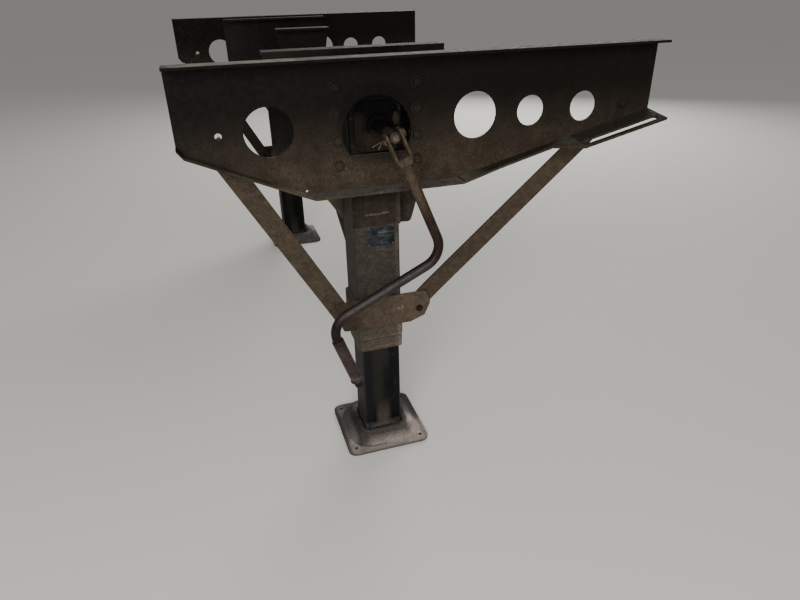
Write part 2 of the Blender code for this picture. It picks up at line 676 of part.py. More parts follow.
def make_sway_brace(finish):
    """From the collar's inboard face up to the centre bracket."""
    half = BRACE_THICK / 2.0
    foot_y = TUBE_SIDE / 2.0 + COLLAR_WALL + SEAT_GAP + half
    top_y = TRACK / 2.0 - BRACKET_THICK / 2.0 - SEAT_GAP - half
    path = [Vector((0.0, foot_y, SWAY_FOOT_Z)), Vector((0.0, foot_y, SWAY_FOOT_Z + BRACE_END)),
            Vector((0.0, top_y, SWAY_TOP_Z - BRACE_END)), Vector((0.0, top_y, SWAY_TOP_Z))]
    bm = bmesh.new()
    add_bent_bar(bm, path, Vector((BRACE_WIDTH, 0.0, 0.0)), BRACE_THICK)
    finish_pair(make_object("sway_brace_near", bm, finish), "sway_brace")


def make_centre_bracket(finish):
    front = TRACK / 2.0 - BRACKET_THICK / 2.0
    outline = [(-BRACKET_TAIL_HALF, BRACKET_BOTTOM), (BRACKET_TAIL_HALF, BRACKET_BOTTOM),
               (BRACKET_HALF, GEAR_TOP), (-BRACKET_HALF, GEAR_TOP)]
    hole = circle(BRACKET_HOLE_RADIUS, SHAFT_SIDES, (0.0, SHAFT_Z))
    bm = bmesh.new()
    add_slab(bm, [outline, hole], on_xz(front), Vector((0.0, BRACKET_THICK, 0.0)))
    bracket = make_object("centre_bracket", bm, finish)
    top = [(-BRACKET_HALF, GEAR_TOP - BRACKET_THICK), (BRACKET_HALF, GEAR_TOP - BRACKET_THICK),
           (BRACKET_HALF, GEAR_TOP), (-BRACKET_HALF, GEAR_TOP)]
    bm = bmesh.new()
    add_slab(bm, [top], on_xz(TRACK / 2.0 - BRACKET_FLANGE / 2.0), Vector((0.0, BRACKET_FLANGE, 0.0)))
    combine(bracket, bm, "UNION")
    shade(bracket)


def make_inner_leg(finish):
    bore = LEG_SIDE - 2.0 * LEG_WALL
    bore_corner = LEG_CORNER - LEG_WALL / 2.0
    bottom = FOOT_FLOOR + SEAT_GAP
    rings = ((LEG_SIDE, LEG_CORNER, bottom), (LEG_SIDE, LEG_CORNER, LEG_TOP),
             (bore, bore_corner, LEG_TOP), (bore, bore_corner, bottom))
    bm = bmesh.new()
    add_rings(bm, [square_ring(*ring) for ring in rings], closed=True)
    finish_pair(make_object("inner_leg_near", bm, finish), "inner_leg")


def make_nut_guide(finish):
    side = TUBE_SIDE - 2.0 * TUBE_WALL - 2.0 * SLIDE_GAP
    corner = TUBE_CORNER - TUBE_WALL / 2.0
    bottom = LEG_TOP + SEAT_GAP
    bm = bmesh.new()
    add_slab(bm, [rounded_square(side, corner), circle(GUIDE_BORE / 2.0, SHAFT_SIDES)], on_xy(bottom),
             Vector((0.0, 0.0, GUIDE_HEIGHT)))
    finish_pair(make_object("nut_guide_near", bm, finish), "nut_guide")


def make_foot(finish):
    pocket = LEG_SIDE + 2.0 * POCKET_GAP
    crest = pocket + 2.0 * RING_LIP
    shoulder = crest + 2.0 * RING_CREST
    slope_foot = shoulder + 2.0 * RING_SLOPE
    # side, corner radius and height of each ring, from the sole's edge up and into the pocket
    rings = (
        (FOOT_SIDE, FOOT_CORNER, 0.0),
        (FOOT_SIDE, FOOT_CORNER, FOOT_RIM),
        (slope_foot, RING_FOOT_CORNER, FOOT_RIM + RING_SPREAD_RISE),
        (shoulder, RING_SHOULDER_CORNER, RING_TOP - RING_SHOULDER_DROP),
        (crest, RING_CREST_CORNER, RING_TOP),
        (pocket, LEG_CORNER + POCKET_GAP, RING_TOP - RING_LIP_DROP),
        (pocket, LEG_CORNER + POCKET_GAP, FOOT_FLOOR),
    )
    bm = bmesh.new()
    add_rings(bm, [square_ring(*ring, FOOT_STEPS) for ring in rings])
    foot = make_object("foot_near", bm, finish)
    bm = bmesh.new()
    reach = FOOT_SIDE / 2.0 - FOOT_HOLE_INSET
    for x in (-reach, reach):
        for y in (-reach, reach):
            add_slab(bm, [circle(FOOT_HOLE_RADIUS, ROD_SIDES, (x, y))], on_xy(-OVERRUN),
                     Vector((0.0, 0.0, RING_TOP)))
    combine(foot, bm, "DIFFERENCE")
    finish_pair(foot, "foot")


def plumb_turned(degrees):
    """The direction straight down, turned towards the rear by some degrees."""
    return Vector((sin(radians(degrees)), 0.0, -cos(radians(degrees))))


def crank_run():
    """The crank's first straight, from its pin, and the pin's own direction."""
    down = plumb_turned(CRANK_ARM_LEAN)
    return down, Vector((-down.z, 0.0, down.x))


def crank_corners():
    """Its pin, knee, elbow and tip."""
    pin = Vector((0.0, CRANK_Y, SHAFT_Z))
    knee = pin + plumb_turned(CRANK_ARM_LEAN) * CRANK_ARM_LENGTH
    elbow = knee + plumb_turned(CRANK_REACH_FALL - 90.0) * CRANK_REACH_LENGTH
    tip = elbow + plumb_turned(CRANK_HANDLE_LEAN) * CRANK_HANDLE_LENGTH
    return pin, knee, elbow, tip


def crank_place(pin_offset=0.0):
    """Places outlines drawn as distance along the pin and distance down the crank."""
    down, pin = crank_run()
    centre = Vector((0.0, CRANK_Y + pin_offset, SHAFT_Z))
    return lambda point: centre + pin * point[0] + down * point[1]


def pin_matrix():
    down, pin = crank_run()
    turn = pin.to_track_quat("Z", "Y").to_matrix().to_4x4()
    return Matrix.Translation((0.0, CRANK_Y, SHAFT_Z)) @ turn


def add_pin(bm, radius, low, high):
    """A round bar on the pin's axis, between two distances from the crank's plane of symmetry."""
    rings = []
    for reach in (low, high):
        rings.append([pin_matrix() @ Vector((x, y, reach)) for x, y in circle(radius, ROD_SIDES)])
    add_rings(bm, rings)


def make_input_shaft(finish):
    inner = WING_FACE_Y + WING_THICK + HEAD_PLATE_THICK
    end = CRANK_Y - SHAFT_EYE_REACH
    chamfer = SHAFT_RADIUS / 4.0
    profile = ((SHAFT_RADIUS, inner), (SHAFT_RADIUS, end + chamfer), (SHAFT_RADIUS - chamfer, end))
    bm = bmesh.new()
    add_turned(bm, profile, SHAFT_SIDES)
    shaft = make_object("input_shaft", bm, finish)
    bm = bmesh.new()
    add_pin(bm, PIN_HOLE_RADIUS, -SHAFT_RADIUS - OVERRUN, SHAFT_RADIUS + OVERRUN)
    combine(shaft, bm, "DIFFERENCE")
    shade(shaft)


def make_cross_shaft(finish):
    inner = TUBE_SIDE / 2.0 + SEAT_GAP
    bm = bmesh.new()
    add_turned(bm, ((CROSS_RADIUS, inner), (CROSS_RADIUS, TRACK - inner)), SHAFT_SIDES)
    shade(make_object("cross_shaft", bm, finish))
    start = inner + HANGER_THICK + COUPLING_STANDOFF
    chamfer = COUPLING_RADIUS / 8.0
    bore = CROSS_RADIUS + SEAT_GAP
    rings = ((bore, start), (COUPLING_RADIUS - chamfer, start), (COUPLING_RADIUS, start + chamfer),
             (COUPLING_RADIUS, start + COUPLING_LENGTH - chamfer),
             (COUPLING_RADIUS - chamfer, start + COUPLING_LENGTH), (bore, start + COUPLING_LENGTH))
    bm = bmesh.new()
    add_turned(bm, rings, SHAFT_SIDES, closed=True)
    finish_pair(make_object("coupling_near", bm, finish), "coupling")


def make_crank_yoke(finish):
    inside = YOKE_GAP / 2.0
    outside = inside + YOKE_STRAP
    base = YOKE_DEPTH + YOKE_STRAP
    neck = ROD_RADIUS
    outline = [(-outside, -YOKE_HORN), (-inside, -YOKE_HORN), (-inside, YOKE_DEPTH), (inside, YOKE_DEPTH),
               (inside, -YOKE_HORN), (outside, -YOKE_HORN), (outside, base), (neck, base + YOKE_NECK),
               (-neck, base + YOKE_NECK), (-outside, base)]
    bm = bmesh.new()
    add_slab(bm, [outline], crank_place(-YOKE_WIDTH / 2.0), Vector((0.0, YOKE_WIDTH, 0.0)))
    yoke = make_object("crank_yoke", bm, finish)
    bm = bmesh.new()
    add_pin(bm, PIN_HOLE_RADIUS, -outside - OVERRUN, outside + OVERRUN)
    combine(yoke, bm, "DIFFERENCE")
    shade(yoke)


def make_crank_pin(finish):
    outside = YOKE_GAP / 2.0 + YOKE_STRAP + SEAT_GAP
    # radius and distance along the pin, from its tail to its head
    profile = ((PIN_RADIUS, -outside - PIN_TAIL), (PIN_RADIUS, outside), (PIN_HEAD_RADIUS, outside),
               (PIN_HEAD_RADIUS, outside + PIN_HEAD_THICK))
    bm = bmesh.new()
    rings = []
    for radius, reach in profile:
        rings.append([pin_matrix() @ Vector((x, y, reach)) for x, y in circle(radius, ROD_SIDES)])
    add_rings(bm, rings)
    shade(make_object("crank_pin", bm, finish))


def make_crank_rod(finish):
    pin, knee, elbow, tip = crank_corners()
    start = pin + (knee - pin).normalized() * (YOKE_DEPTH + YOKE_STRAP + YOKE_NECK + SEAT_GAP)
    bm = bmesh.new()
    add_rod(bm, [start, knee, elbow, tip], CRANK_BEND, ROD_RADIUS, ROD_SIDES)
    shade(make_object("crank_rod", bm, finish))


def make_crank_grip(finish):
    pin, knee, elbow, tip = crank_corners()
    turn = (tip - elbow).normalized().to_track_quat("Z", "Y").to_matrix().to_4x4()
    place = Matrix.Translation(elbow) @ turn
    bore = ROD_RADIUS + SEAT_GAP
    end = GRIP_START + GRIP_LENGTH
    lip = GRIP_RING_WIDTH / 4.0
    # radius and distance from the elbow, round the sleeve's section
    profile = ((bore, GRIP_START), (GRIP_RADIUS - lip, GRIP_START), (GRIP_RADIUS, GRIP_START + lip),
               (GRIP_RADIUS, end - GRIP_RING_WIDTH), (GRIP_RING_RADIUS, end - GRIP_RING_WIDTH + lip),
               (GRIP_RING_RADIUS, end - lip), (GRIP_RADIUS, end), (bore, end))
    rings = []
    for radius, reach in profile:
        rings.append([place @ Vector((x, y, reach)) for x, y in circle(radius, ROD_SIDES)])
    bm = bmesh.new()
    add_rings(bm, rings, closed=True)
    shade(make_object("crank_grip", bm, finish))


def main():
    clear_scene()
    finishes = make_finishes()
    make_wing_plate(finishes["plate_paint"])
    make_inner_hanger(finishes["plate_paint"])
    make_outer_tube(finishes["tube_paint"])
    make_head_case(finishes["tube_paint"])
    make_gear_covers(finishes["tube_paint"])
    make_collar(finishes["rusty_steel"])
    make_fore_aft_brace("front_brace", FRONT_BRACE_TOP_X, FRONT_BRACE_TOP_Z,
                        FRONT_BRACE_FOOT_X, FRONT_BRACE_FOOT_Z, finishes["rusty_steel"])
    make_fore_aft_brace("rear_brace", REAR_BRACE_TOP_X, REAR_BRACE_TOP_Z,
                        REAR_BRACE_FOOT_X, REAR_BRACE_FOOT_Z, finishes["rusty_steel"])
    make_sway_brace(finishes["plate_paint"])
    make_centre_bracket(finishes["plate_paint"])
    make_inner_leg(finishes["greasy_steel"])
    make_nut_guide(finishes["greasy_steel"])
    make_foot(finishes["dusty_steel"])
    make_input_shaft(finishes["rusty_steel"])
    make_cross_shaft(finishes["rusty_steel"])
    make_crank_yoke(finishes["crank_paint"])
    make_crank_pin(finishes["rusty_steel"])
    make_crank_rod(finishes["crank_paint"])
    make_crank_grip(finishes["grip_paint"])


main()
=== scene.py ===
"""Looks of a semi trailer's landing gear set: worn paint, rust, dust and grease on its steel,
with its bolts, welds, label plates and cotter. The near side's pieces are mirrored to the far side."""

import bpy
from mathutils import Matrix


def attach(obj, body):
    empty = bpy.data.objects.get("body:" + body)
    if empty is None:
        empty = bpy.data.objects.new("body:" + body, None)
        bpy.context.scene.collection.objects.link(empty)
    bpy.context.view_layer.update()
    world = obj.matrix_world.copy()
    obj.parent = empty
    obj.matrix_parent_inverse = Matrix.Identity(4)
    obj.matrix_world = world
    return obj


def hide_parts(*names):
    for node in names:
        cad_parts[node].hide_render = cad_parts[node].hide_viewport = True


bl_info = {
    "name": "Trailer Landing Gear Looks",
    "version": (1, 0, 0),
    "blender": (4, 5, 0),
    "location": "3D View > Sidebar > Landing Gear",
    "description": "Finishes, fasteners and small fittings for the parking stand of a semi trailer",
    "category": "Object",
}

from math import cos, pi, radians, sin, tan

import bmesh
import bpy
from bpy.props import FloatProperty, FloatVectorProperty, PointerProperty
from mathutils import Matrix, Vector

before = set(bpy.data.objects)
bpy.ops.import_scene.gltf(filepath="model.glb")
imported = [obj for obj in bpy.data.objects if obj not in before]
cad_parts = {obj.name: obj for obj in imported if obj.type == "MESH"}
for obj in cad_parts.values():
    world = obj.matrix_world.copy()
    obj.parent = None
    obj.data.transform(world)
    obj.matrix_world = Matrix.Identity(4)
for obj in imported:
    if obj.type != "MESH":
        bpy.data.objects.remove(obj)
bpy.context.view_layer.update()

SIDES = ("near", "far")
TRACK = 1.74  # near leg's axis to far leg's axis
MERGE = 0.00002  # points closer than this are one
UP = (0.0, 0.0, 1.0)
OUTWARD = (0.0, -1.0, 0.0)
INWARD = (0.0, 1.0, 0.0)
WEAR = "edge_wear"  # 1 on the narrow faces of softened edges
TO_FAR = Matrix.Translation((0.0, TRACK, 0.0)) @ Matrix.Scale(-1.0, 4, (0.0, 1.0, 0.0))

# Faces on the near side, each by its place on Y
PLATE_FACE = -0.100  # outer face of the wing plate
PLATE_BACK = -0.094  # and its inner face
BOLTING_BACK = -0.0827  # back of the gear head's bolting plate
COVER_FACE = -0.099
CASE_FACE = -0.069  # outer face of the gear head, below the wing plate
TUBE_FACE = -0.0635
COLLAR_FACE = -0.0805
EAR_BACK = -0.0639  # inner face of the collar's ears
COLLAR_REAR = 0.0808  # inboard face of the collar
HANGER_BACK = 0.0718  # inboard face of the hanger
BRACKET_OUTER = 0.8577  # faces of the centre bracket
BRACKET_INNER = 0.8823

# Fasteners on the near side, by X and Z
COVER_SCREWS = ((-0.040, 0.920), (-0.040, 1.013), (0.040, 0.920), (0.040, 1.013))
CAP_SCREWS = ((-0.050, -0.072), (-0.050, 0.050), (0.050, -0.072), (0.050, 0.050))  # by X and Y
CAP_TOP = 1.093
PLATE_BOLT_X = 0.0985
PLATE_BOLT_HEIGHTS = (1.065, 1.005, 0.945, 0.885)
END_BOLT = (0.6735, 0.976)  # at the wing plate's slotted end
COLLAR_BOLTS = ((0.1105, 0.449), (-0.109, 0.456))
REAR_BOLT_HEIGHTS = (0.428, 0.466)
HANGER_BOLT_X = 0.040
HANGER_BOLT_HEIGHTS = (0.700, 0.800, 0.900, 1.040)
BRACKET_BOLT_Z = 0.902
LABEL_LOW = (-0.0287, 0.648)  # corners of the label plate
LABEL_HIGH = (0.0464, 0.705)

# The crank, whose bar has three straights. Leans are degrees from straight down, towards the rear.
SHAFT_Z = 0.973
PIN = Vector((0.0, -0.236, SHAFT_Z))  # its pivot
CRANK_NECK = 0.070  # from the pin to the bar's start
CRANK_ARM, ARM_LEAN = 0.322, 22.4
CRANK_REACH, REACH_LEAN = 0.331, -64.2
CRANK_HANDLE, HANDLE_LEAN = 0.202, 18.8
CRANK_BEND = 0.055
CRANK_RADIUS = 0.01225

# Stage
LIGHT_TINT = (1.0, 0.98, 0.95)
SKY_TINT = (0.97, 0.96, 0.95)
LIT_POINT = (0.1, 0.3, 0.6)  # what the lights are aimed at
CAMERA_PLACE = (-0.391, -1.521, 1.278)
CAMERA_TURN = (-17.15, 27.78, -1.25)  # heading, dip and roll in degrees
CAMERA_LENS = 27.41

# Colours that one finish alone uses
OLIVE_TINT = (0.95, 1.12, 0.95)
HANGER_PAINT = (0.015, 0.0128, 0.01)
HEAD_PAINT = (0.02, 0.0145, 0.0108)
BOLT_GRIME = (0.0105, 0.0085, 0.006)
OLIVE_FILM = (0.0135, 0.014, 0.0108)
GREY_FILM = (0.0175, 0.0165, 0.016)
LEG_RUST = (0.048, 0.039, 0.033)
SMEARED_GREASE = (0.02, 0.019, 0.018)
SIDE_DIRT = (0.024, 0.0215, 0.0195)
LEG_SPECKS = (0.03, 0.026, 0.023)
POCKET_DIRT = (0.085, 0.076, 0.068)
PALE_GRIT = (0.24, 0.215, 0.19)
BARE_SPOTS = (0.045, 0.038, 0.033)
GREY_WEAR = (0.03, 0.024, 0.023)
GRIP_RING = (0.062, 0.049, 0.046)
LABEL_SCRATCHES = (0.085, 0.094, 0.096)
BRIGHT_DARK, BRIGHT_PALE = (0.042, 0.029, 0.021), (0.13, 0.1, 0.076)
SHAFT_DARK, SHAFT_PALE = (0.02, 0.0145, 0.011), (0.052, 0.039, 0.03)


def tone(name, default, text):
    return FloatVectorProperty(name=name, description=text, subtype="COLOR", size=3, min=0.0, max=1.0,
                               default=default)


def length(name, default, text):
    return FloatProperty(name=name, description=text, subtype="DISTANCE", unit="LENGTH", min=0.0,
                         default=default)


class FinishSettings(bpy.types.PropertyGroup):
    plate_tone: tone("Plates", (0.017, 0.0125, 0.0085), "Old paint on the hanger plates")
    tube_tone: tone("Tubes", (0.029, 0.0245, 0.0205), "Old paint on the tubes and gear heads")
    brace_tone: tone("Braces", (0.048, 0.035, 0.025), "Rusted steel of the braces and collars")
    rust_tone: tone("Rust", (0.048, 0.027, 0.016), "Rust where the paint is gone")
    splash_tone: tone("Splashed dirt", (0.062, 0.046, 0.032), "Dried dirt thrown up from the road")
    dust_tone: tone("Dust", (0.118, 0.106, 0.09), "Road dust on level faces")
    grime_tone: tone("Grime", (0.021, 0.0205, 0.016), "Grey grime on sloping flanges")
    bare_tone: tone("Worn edges", (0.11, 0.082, 0.058), "Edges rubbed bare")
    # Also the painted shade over the gear covers' upper half
    grease_and_shade_tone: tone("Grease", (0.004, 0.004, 0.0045), "Black grease on the inner legs and painted shade on the gear covers")
    foot_tone: tone("Feet", (0.22, 0.19, 0.17), "Dust on the feet")
    # Painted shade on the feet's inner side, steep faces and rims
    shade_tone: tone("Feet, dark", (0.057, 0.057, 0.055), "Painted shade on the feet's inner side")
    crank_tone: tone("Crank", (0.015, 0.0064, 0.005), "Paint of the crank")
    # A painted highlight on the crank's bar
    painted_highlight_tone: tone("Painted highlight on the bar", (0.037, 0.0325, 0.0312), "Grey painted highlight on the crank's bar")
    rubbed_tone: tone("Crank's rubbed end", (0.056, 0.041, 0.0265), "Bare, rusted steel near the yoke")
    grip_tone: tone("Grip", (0.034, 0.022, 0.0205), "Paint of the crank's sleeve")
    label_tone: tone("Label plates", (0.021, 0.0285, 0.034), "Faded coating of the label plates")


class DetailSettings(bpy.types.PropertyGroup):
    plate_edge: length("Plate edge radius", 0.0012, "Rounding of the plates' edges")
    casting_edge: length("Casting edge radius", 0.0022, "Rounding of the cast pieces' edges")
    foot_edge: length("Foot edge radius", 0.0035, "Rounding of the pressed feet")
    bolt_size: length("Bolt diameter", 0.0125, "Thread diameter of the plates' bolts")
    weld_radius: length("Weld radius", 0.0035, "Half the width of the weld beads")
    wire_radius: length("Cotter wire radius", 0.0016, "Half the thickness of the cotter's wire")


class StageSettings(bpy.types.PropertyGroup):
    floor_tone: tone("Floor", (0.74, 0.72, 0.69), "Plain floor")
    floor_size: length("Floor size", 200.0, "Length of the floor's sides")
    key_power: FloatProperty(name="Key light", description="Power of the large soft light", default=190.0,
                             min=0.0, subtype="POWER", unit="POWER")
    sky_strength: FloatProperty(name="Sky", description="Strength of the even light from all round",
                                default=0.30, min=0.0)


# Materials

def lighter(colour, factor):
    return tuple(min(1.0, part * factor) for part in colour)


def tinted(colour, tint):
    return tuple(min(1.0, part * share) for part, share in zip(colour, tint))


def opaque(colour):
    return colour if isinstance(colour, bpy.types.NodeSocket) else (*colour, 1.0)


class Look:
    """A material in the making: its nodes, and the colour laid so far. Shares go from 0 to 1, and
    places are on the object's own coordinates."""

    def __init__(self, name, specular=0.12):
        self.material = bpy.data.materials.new(name)
        self.material.use_nodes = True
        self.tree = self.material.node_tree
        self.shader = self.tree.nodes["Principled BSDF"]
        self.shader.inputs["Specular IOR Level"].default_value = specular
        self.colour = None

    def node(self, kind, inputs=None, **settings):
        """A node whose inputs are linked to a socket or set to a value."""
        made = self.tree.nodes.new(kind)
        for key, value in settings.items():
            setattr(made, key, value)
        for key, value in (inputs or {}).items():
            if isinstance(value, bpy.types.NodeSocket):
                self.tree.links.new(value, made.inputs[key])
            else:
                made.inputs[key].default_value = value
        return made

    def math(self, operation, *values):
        return self.node("ShaderNodeMath", dict(enumerate(values)), operation=operation).outputs["Value"]

    def times(self, *shares):
        product = shares[0]
        for share in shares[1:]:
            product = self.math("MULTIPLY", product, share)
        return product

    def less(self, share):
        """What is left of 1 beside a share."""
        return self.math("SUBTRACT", 1.0, share)

    def larger(self, first, second):
        return self.math("MAXIMUM", first, second)

    def ranged(self, value, low, high):
        """0 at one value and 1 at another, and no less or more beyond them."""
        made = self.node("ShaderNodeMapRange", {"Value": value, "From Min": low, "From Max": high})
        return made.outputs["Result"]

    def between(self, share, low, high):
        """The value that lies between two others by a share."""
        made = self.node("ShaderNodeMapRange", {"Value": share, "To Min": low, "To Max": high})
        return made.outputs["Result"]

    def length(self, x, z):
        """The length of a flat vector."""
        flat = self.node("ShaderNodeCombineXYZ", {"X": x, "Z": z})
        made = self.node("ShaderNodeVectorMath", {0: flat.outputs["Vector"]}, operation="LENGTH")
        return made.outputs["Value"]

    def grain(self, scale, low, high, detail=6.0, stretch=(1.0, 1.0, 1.0), seed=0.0, roughness=0.6):
        """Noise, spread so that low gives 0 and high gives 1."""
        coords = self.node("ShaderNodeTexCoord")
        placed = self.node("ShaderNodeMapping", {"Vector": coords.outputs["Object"], "Scale": stretch,
                                                 "Location": (seed, 2.0 * seed, 3.0 * seed)})
        noise = self.node("ShaderNodeTexNoise", {"Vector": placed.outputs["Vector"], "Scale": scale,
                                                 "Detail": detail, "Roughness": roughness})
        return self.ranged(noise.outputs["Fac"], low, high)

    def place(self, axis):
        """The coordinate on an axis."""
        coords = self.node("ShaderNodeTexCoord")
        return self.node("ShaderNodeSeparateXYZ", {"Vector": coords.outputs["Object"]}).outputs[axis]

    def span(self, axis, low, high, ragged=0.0, seed=0.0):
        """0 below one place on an axis and 1 above another. Ragged is how far the noise shifts them."""
        value = self.place(axis)
        if ragged:
            shift = self.grain(26.0, 0.0, 1.0, detail=8.0, seed=seed)
            value = self.math("MULTIPLY_ADD", shift, 2.0 * ragged, value)
        return self.ranged(value, low + ragged, high + ragged)

    def stretch(self, axis, start, stop):
        """1 on a stretch of an axis. Start and stop are what span takes."""
        return self.times(self.span(axis, *start), self.less(self.span(axis, *stop)))

    def band(self, axis, place, inner, outer):
        """1 close to a place on an axis and 0 away from it."""
        offset = self.math("SUBTRACT", self.place(axis), place)
        return self.ranged(self.math("ABSOLUTE", offset), outer, inner)

    def away_from(self, x, z, near, far):
        """0 near a line across the trailer and 1 away from it."""
        return self.ranged(self.length(self.math("SUBTRACT", self.place("X"), x),
                                       self.math("SUBTRACT", self.place("Z"), z)), near, far)

    def past_middle(self):
        """How far it is on Y from the middle between the legs, less than 0 on the near side."""
        return self.math("SUBTRACT", self.place("Y"), TRACK / 2.0)

    def outboard(self, low, high, lean=0.0):
        """0 at one distance from the middle between the legs and 1 at another. Lean adds a share of X."""
        reach = self.math("ABSOLUTE", self.past_middle())
        return self.ranged(self.math("MULTIPLY_ADD", self.place("X"), lean, reach), low, high)

    def facing(self, direction, low, high):
        """1 where the surface looks along a direction."""
        geometry = self.node("ShaderNodeNewGeometry")
        dot = self.node("ShaderNodeVectorMath", {0: geometry.outputs["Normal"], 1: direction},
                        operation="DOT_PRODUCT")
        return self.ranged(dot.outputs["Value"], low, high)

    def facing_middle(self):
        """1 where the surface looks at the middle between the legs."""
        geometry = self.node("ShaderNodeNewGeometry")
        normal = self.node("ShaderNodeSeparateXYZ", {"Vector": geometry.outputs["Normal"]})
        return self.ranged(self.math("MULTIPLY", self.past_middle(), normal.outputs["Y"]), -0.35, -0.55)

    def worn(self, scale, seed):
        """Where softened edges are rubbed."""
        edges = self.node("ShaderNodeAttribute", attribute_name=WEAR)
        return self.times(edges.outputs["Fac"], self.grain(scale, 0.34, 0.58, seed=seed))

    def mixed(self, share, first, second):
        made = self.node("ShaderNodeMix", data_type="RGBA")
        for index, value in ((0, share), (6, opaque(first)), (7, opaque(second))):
            if isinstance(value, bpy.types.NodeSocket):
                self.tree.links.new(value, made.inputs[index])
            else:
                made.inputs[index].default_value = value
        return made.outputs[2]

    def mottled(self, share, colour, dark, pale):
        """A colour that goes from one factor of itself to another."""
        return self.mixed(share, lighter(colour, dark), lighter(colour, pale))

    def lay(self, top, *shares):
        """Lays a colour over the ones below by the product of some shares."""
        self.colour = self.mixed(self.times(*shares), self.colour, top)

    def tone(self, share, low, high):
        """Multiplies the colour by a factor that goes from low to high with a share."""
        made = self.node("ShaderNodeVectorMath", {0: self.colour, "Scale": self.between(share, low, high)},
                         operation="SCALE")
        self.colour = made.outputs["Vector"]

    def speckle(self, amount, seed=0.0, scale=230.0):
        """Fine specks, darker and paler than the colour."""
        specks = self.grain(scale, 0.36, 0.64, detail=3.0, seed=seed, roughness=0.7)
        self.tone(specks, 1.0 - amount, 1.0 + amount)

    def finish(self, dull, roughness, height, depth):
        """Links the colour, the relief and the roughness, whose two values a dull share lies between."""
        relief = self.node("ShaderNodeBump", {"Height": height, "Strength": 0.6, "Distance": depth})
        self.tree.links.new(relief.outputs["Normal"], self.shader.inputs["Normal"])
        self.tree.links.new(self.colour, self.shader.inputs["Base Color"])
        self.tree.links.new(self.between(dull, *roughness), self.shader.inputs["Roughness"])
        return self.material


def worn_steel(tones, name, paint, rust=0.4, level=0.5, edge=0.4, splash=None, slope=0.0, scratched=0.0,
               shades=(), stain_and_shade=None, lines=(), scuff=None, inward_shade=0.70, fine=0.30, seed=0.0):
    """Old paint, mottled and rusting, with dust on level faces, grime on sloping ones and rubbed edges.
    Splash gives two heights, below and above which the dried dirt is full and none, and its share.
    Shades give an axis, two places on it and the factors there, and lines an axis, a place, two widths
    and a factor. Stain gives a place, two radii and a factor for a darkening round the place: a grease
    mark on the plates, painted shade on the gear heads. A scuff gives a place and a radius. Inward is
    the factor of painted shade on the faces towards the middle."""
    look = Look(name)
    broad = look.grain(4.5, 0.36, 0.64, detail=5.0, seed=seed)
    look.colour = look.mottled(broad, paint, 0.80, 1.2)
    olive = look.grain(8.0, 0.42, 0.60, detail=7.0, seed=seed + 2.0)
    look.lay(tinted(paint, OLIVE_TINT), olive, 0.55)
    mottle = look.grain(70.0, 0.36, 0.68, detail=8.0, seed=seed)
    look.lay(lighter(paint, 2.0), mottle, 0.6)
    if splash:
        low, high, share = splash
        cloud = look.grain(17.0, 0.22, 0.62, detail=9.0, seed=seed + 4.0)
        crumbs = look.grain(110.0, 0.35, 0.65, seed=seed + 5.0)
        dried = look.mottled(crumbs, tones.splash_tone, 0.65, 1.30)
        look.lay(dried, look.less(look.span("Z", low, high)), cloud, share)
    flecks = look.grain(160.0, 0.40, 0.62, seed=seed + 3.0)
    threshold = 0.74 - 0.34 * rust
    rusted = look.grain(16.0, threshold, threshold + 0.12, detail=10.0, seed=seed + 7.0, roughness=0.68)
    look.lay(look.mottled(flecks, tones.rust_tone, 0.55, 1.5), rusted, 0.7)
    runs = look.grain(34.0, 0.58, 0.76, stretch=(1.0, 1.0, 0.10), seed=seed + 11.0)
    look.lay(lighter(tones.rust_tone, 0.9), runs, 0.35)
    patches = look.grain(48.0, 0.34, 0.66, detail=4.0, seed=seed + 21.0)
    look.tone(patches, 1.0 - 0.5 * fine, 1.0 + 0.5 * fine)
    # Factors along an axis, many of which paint light and shade
    for axis, low, high, below, above in shades:
        look.tone(look.span(axis, low, high, 0.25 * (high - low), seed), below, above)
    # A darkening round a place: a grease mark on the plates, painted shade on the gear heads
    if stain_and_shade:
        look.tone(look.away_from(*stain_and_shade[:4]), stain_and_shade[4], 1.0)
    # Painted shade on the faces towards the middle
    look.tone(look.facing_middle(), 1.0, inward_shade)
    if slope:
        patchy = look.grain(30.0, 0.20, 0.50, seed=seed + 12.0)
        look.lay(tones.grime_tone, look.facing(UP, 0.70, 0.86), patchy, slope)
    settled = look.grain(28.0, 0.20, 0.55, seed=seed + 13.0)
    look.lay(tones.dust_tone, look.facing(UP, 0.975, 0.995), settled, level)
    if scratched:
        strokes = look.grain(75.0, 0.60, 0.67, detail=3.0, stretch=(0.14, 1.0, 1.5), seed=seed + 15.0)
        look.lay(lighter(tones.bare_tone, 1.1), strokes, scratched)
    if scuff:
        x, z, radius = scuff
        nicks = look.grain(130.0, 0.48, 0.60, detail=3.0, stretch=(1.0, 1.0, 0.5), seed=seed + 25.0)
        look.lay(lighter(tones.bare_tone, 1.6), look.less(look.away_from(x, z, 0.3 * radius, radius)), nicks)
    for axis, place, inner, outer, factor in lines:
        line = look.band(axis, place, inner, outer)
        if axis == "X":
            line = look.times(line, look.facing(UP, 0.5, 0.7))
        look.tone(line, 1.0, factor)
    look.lay(tones.bare_tone, look.worn(70.0, seed + 19.0), edge)
    look.speckle(fine, seed + 23.0)
    height = look.math("ADD", look.times(rusted, 0.5), look.times(flecks, 0.4))
    return look.finish(mottle, (0.58, 0.88), height, 0.001)


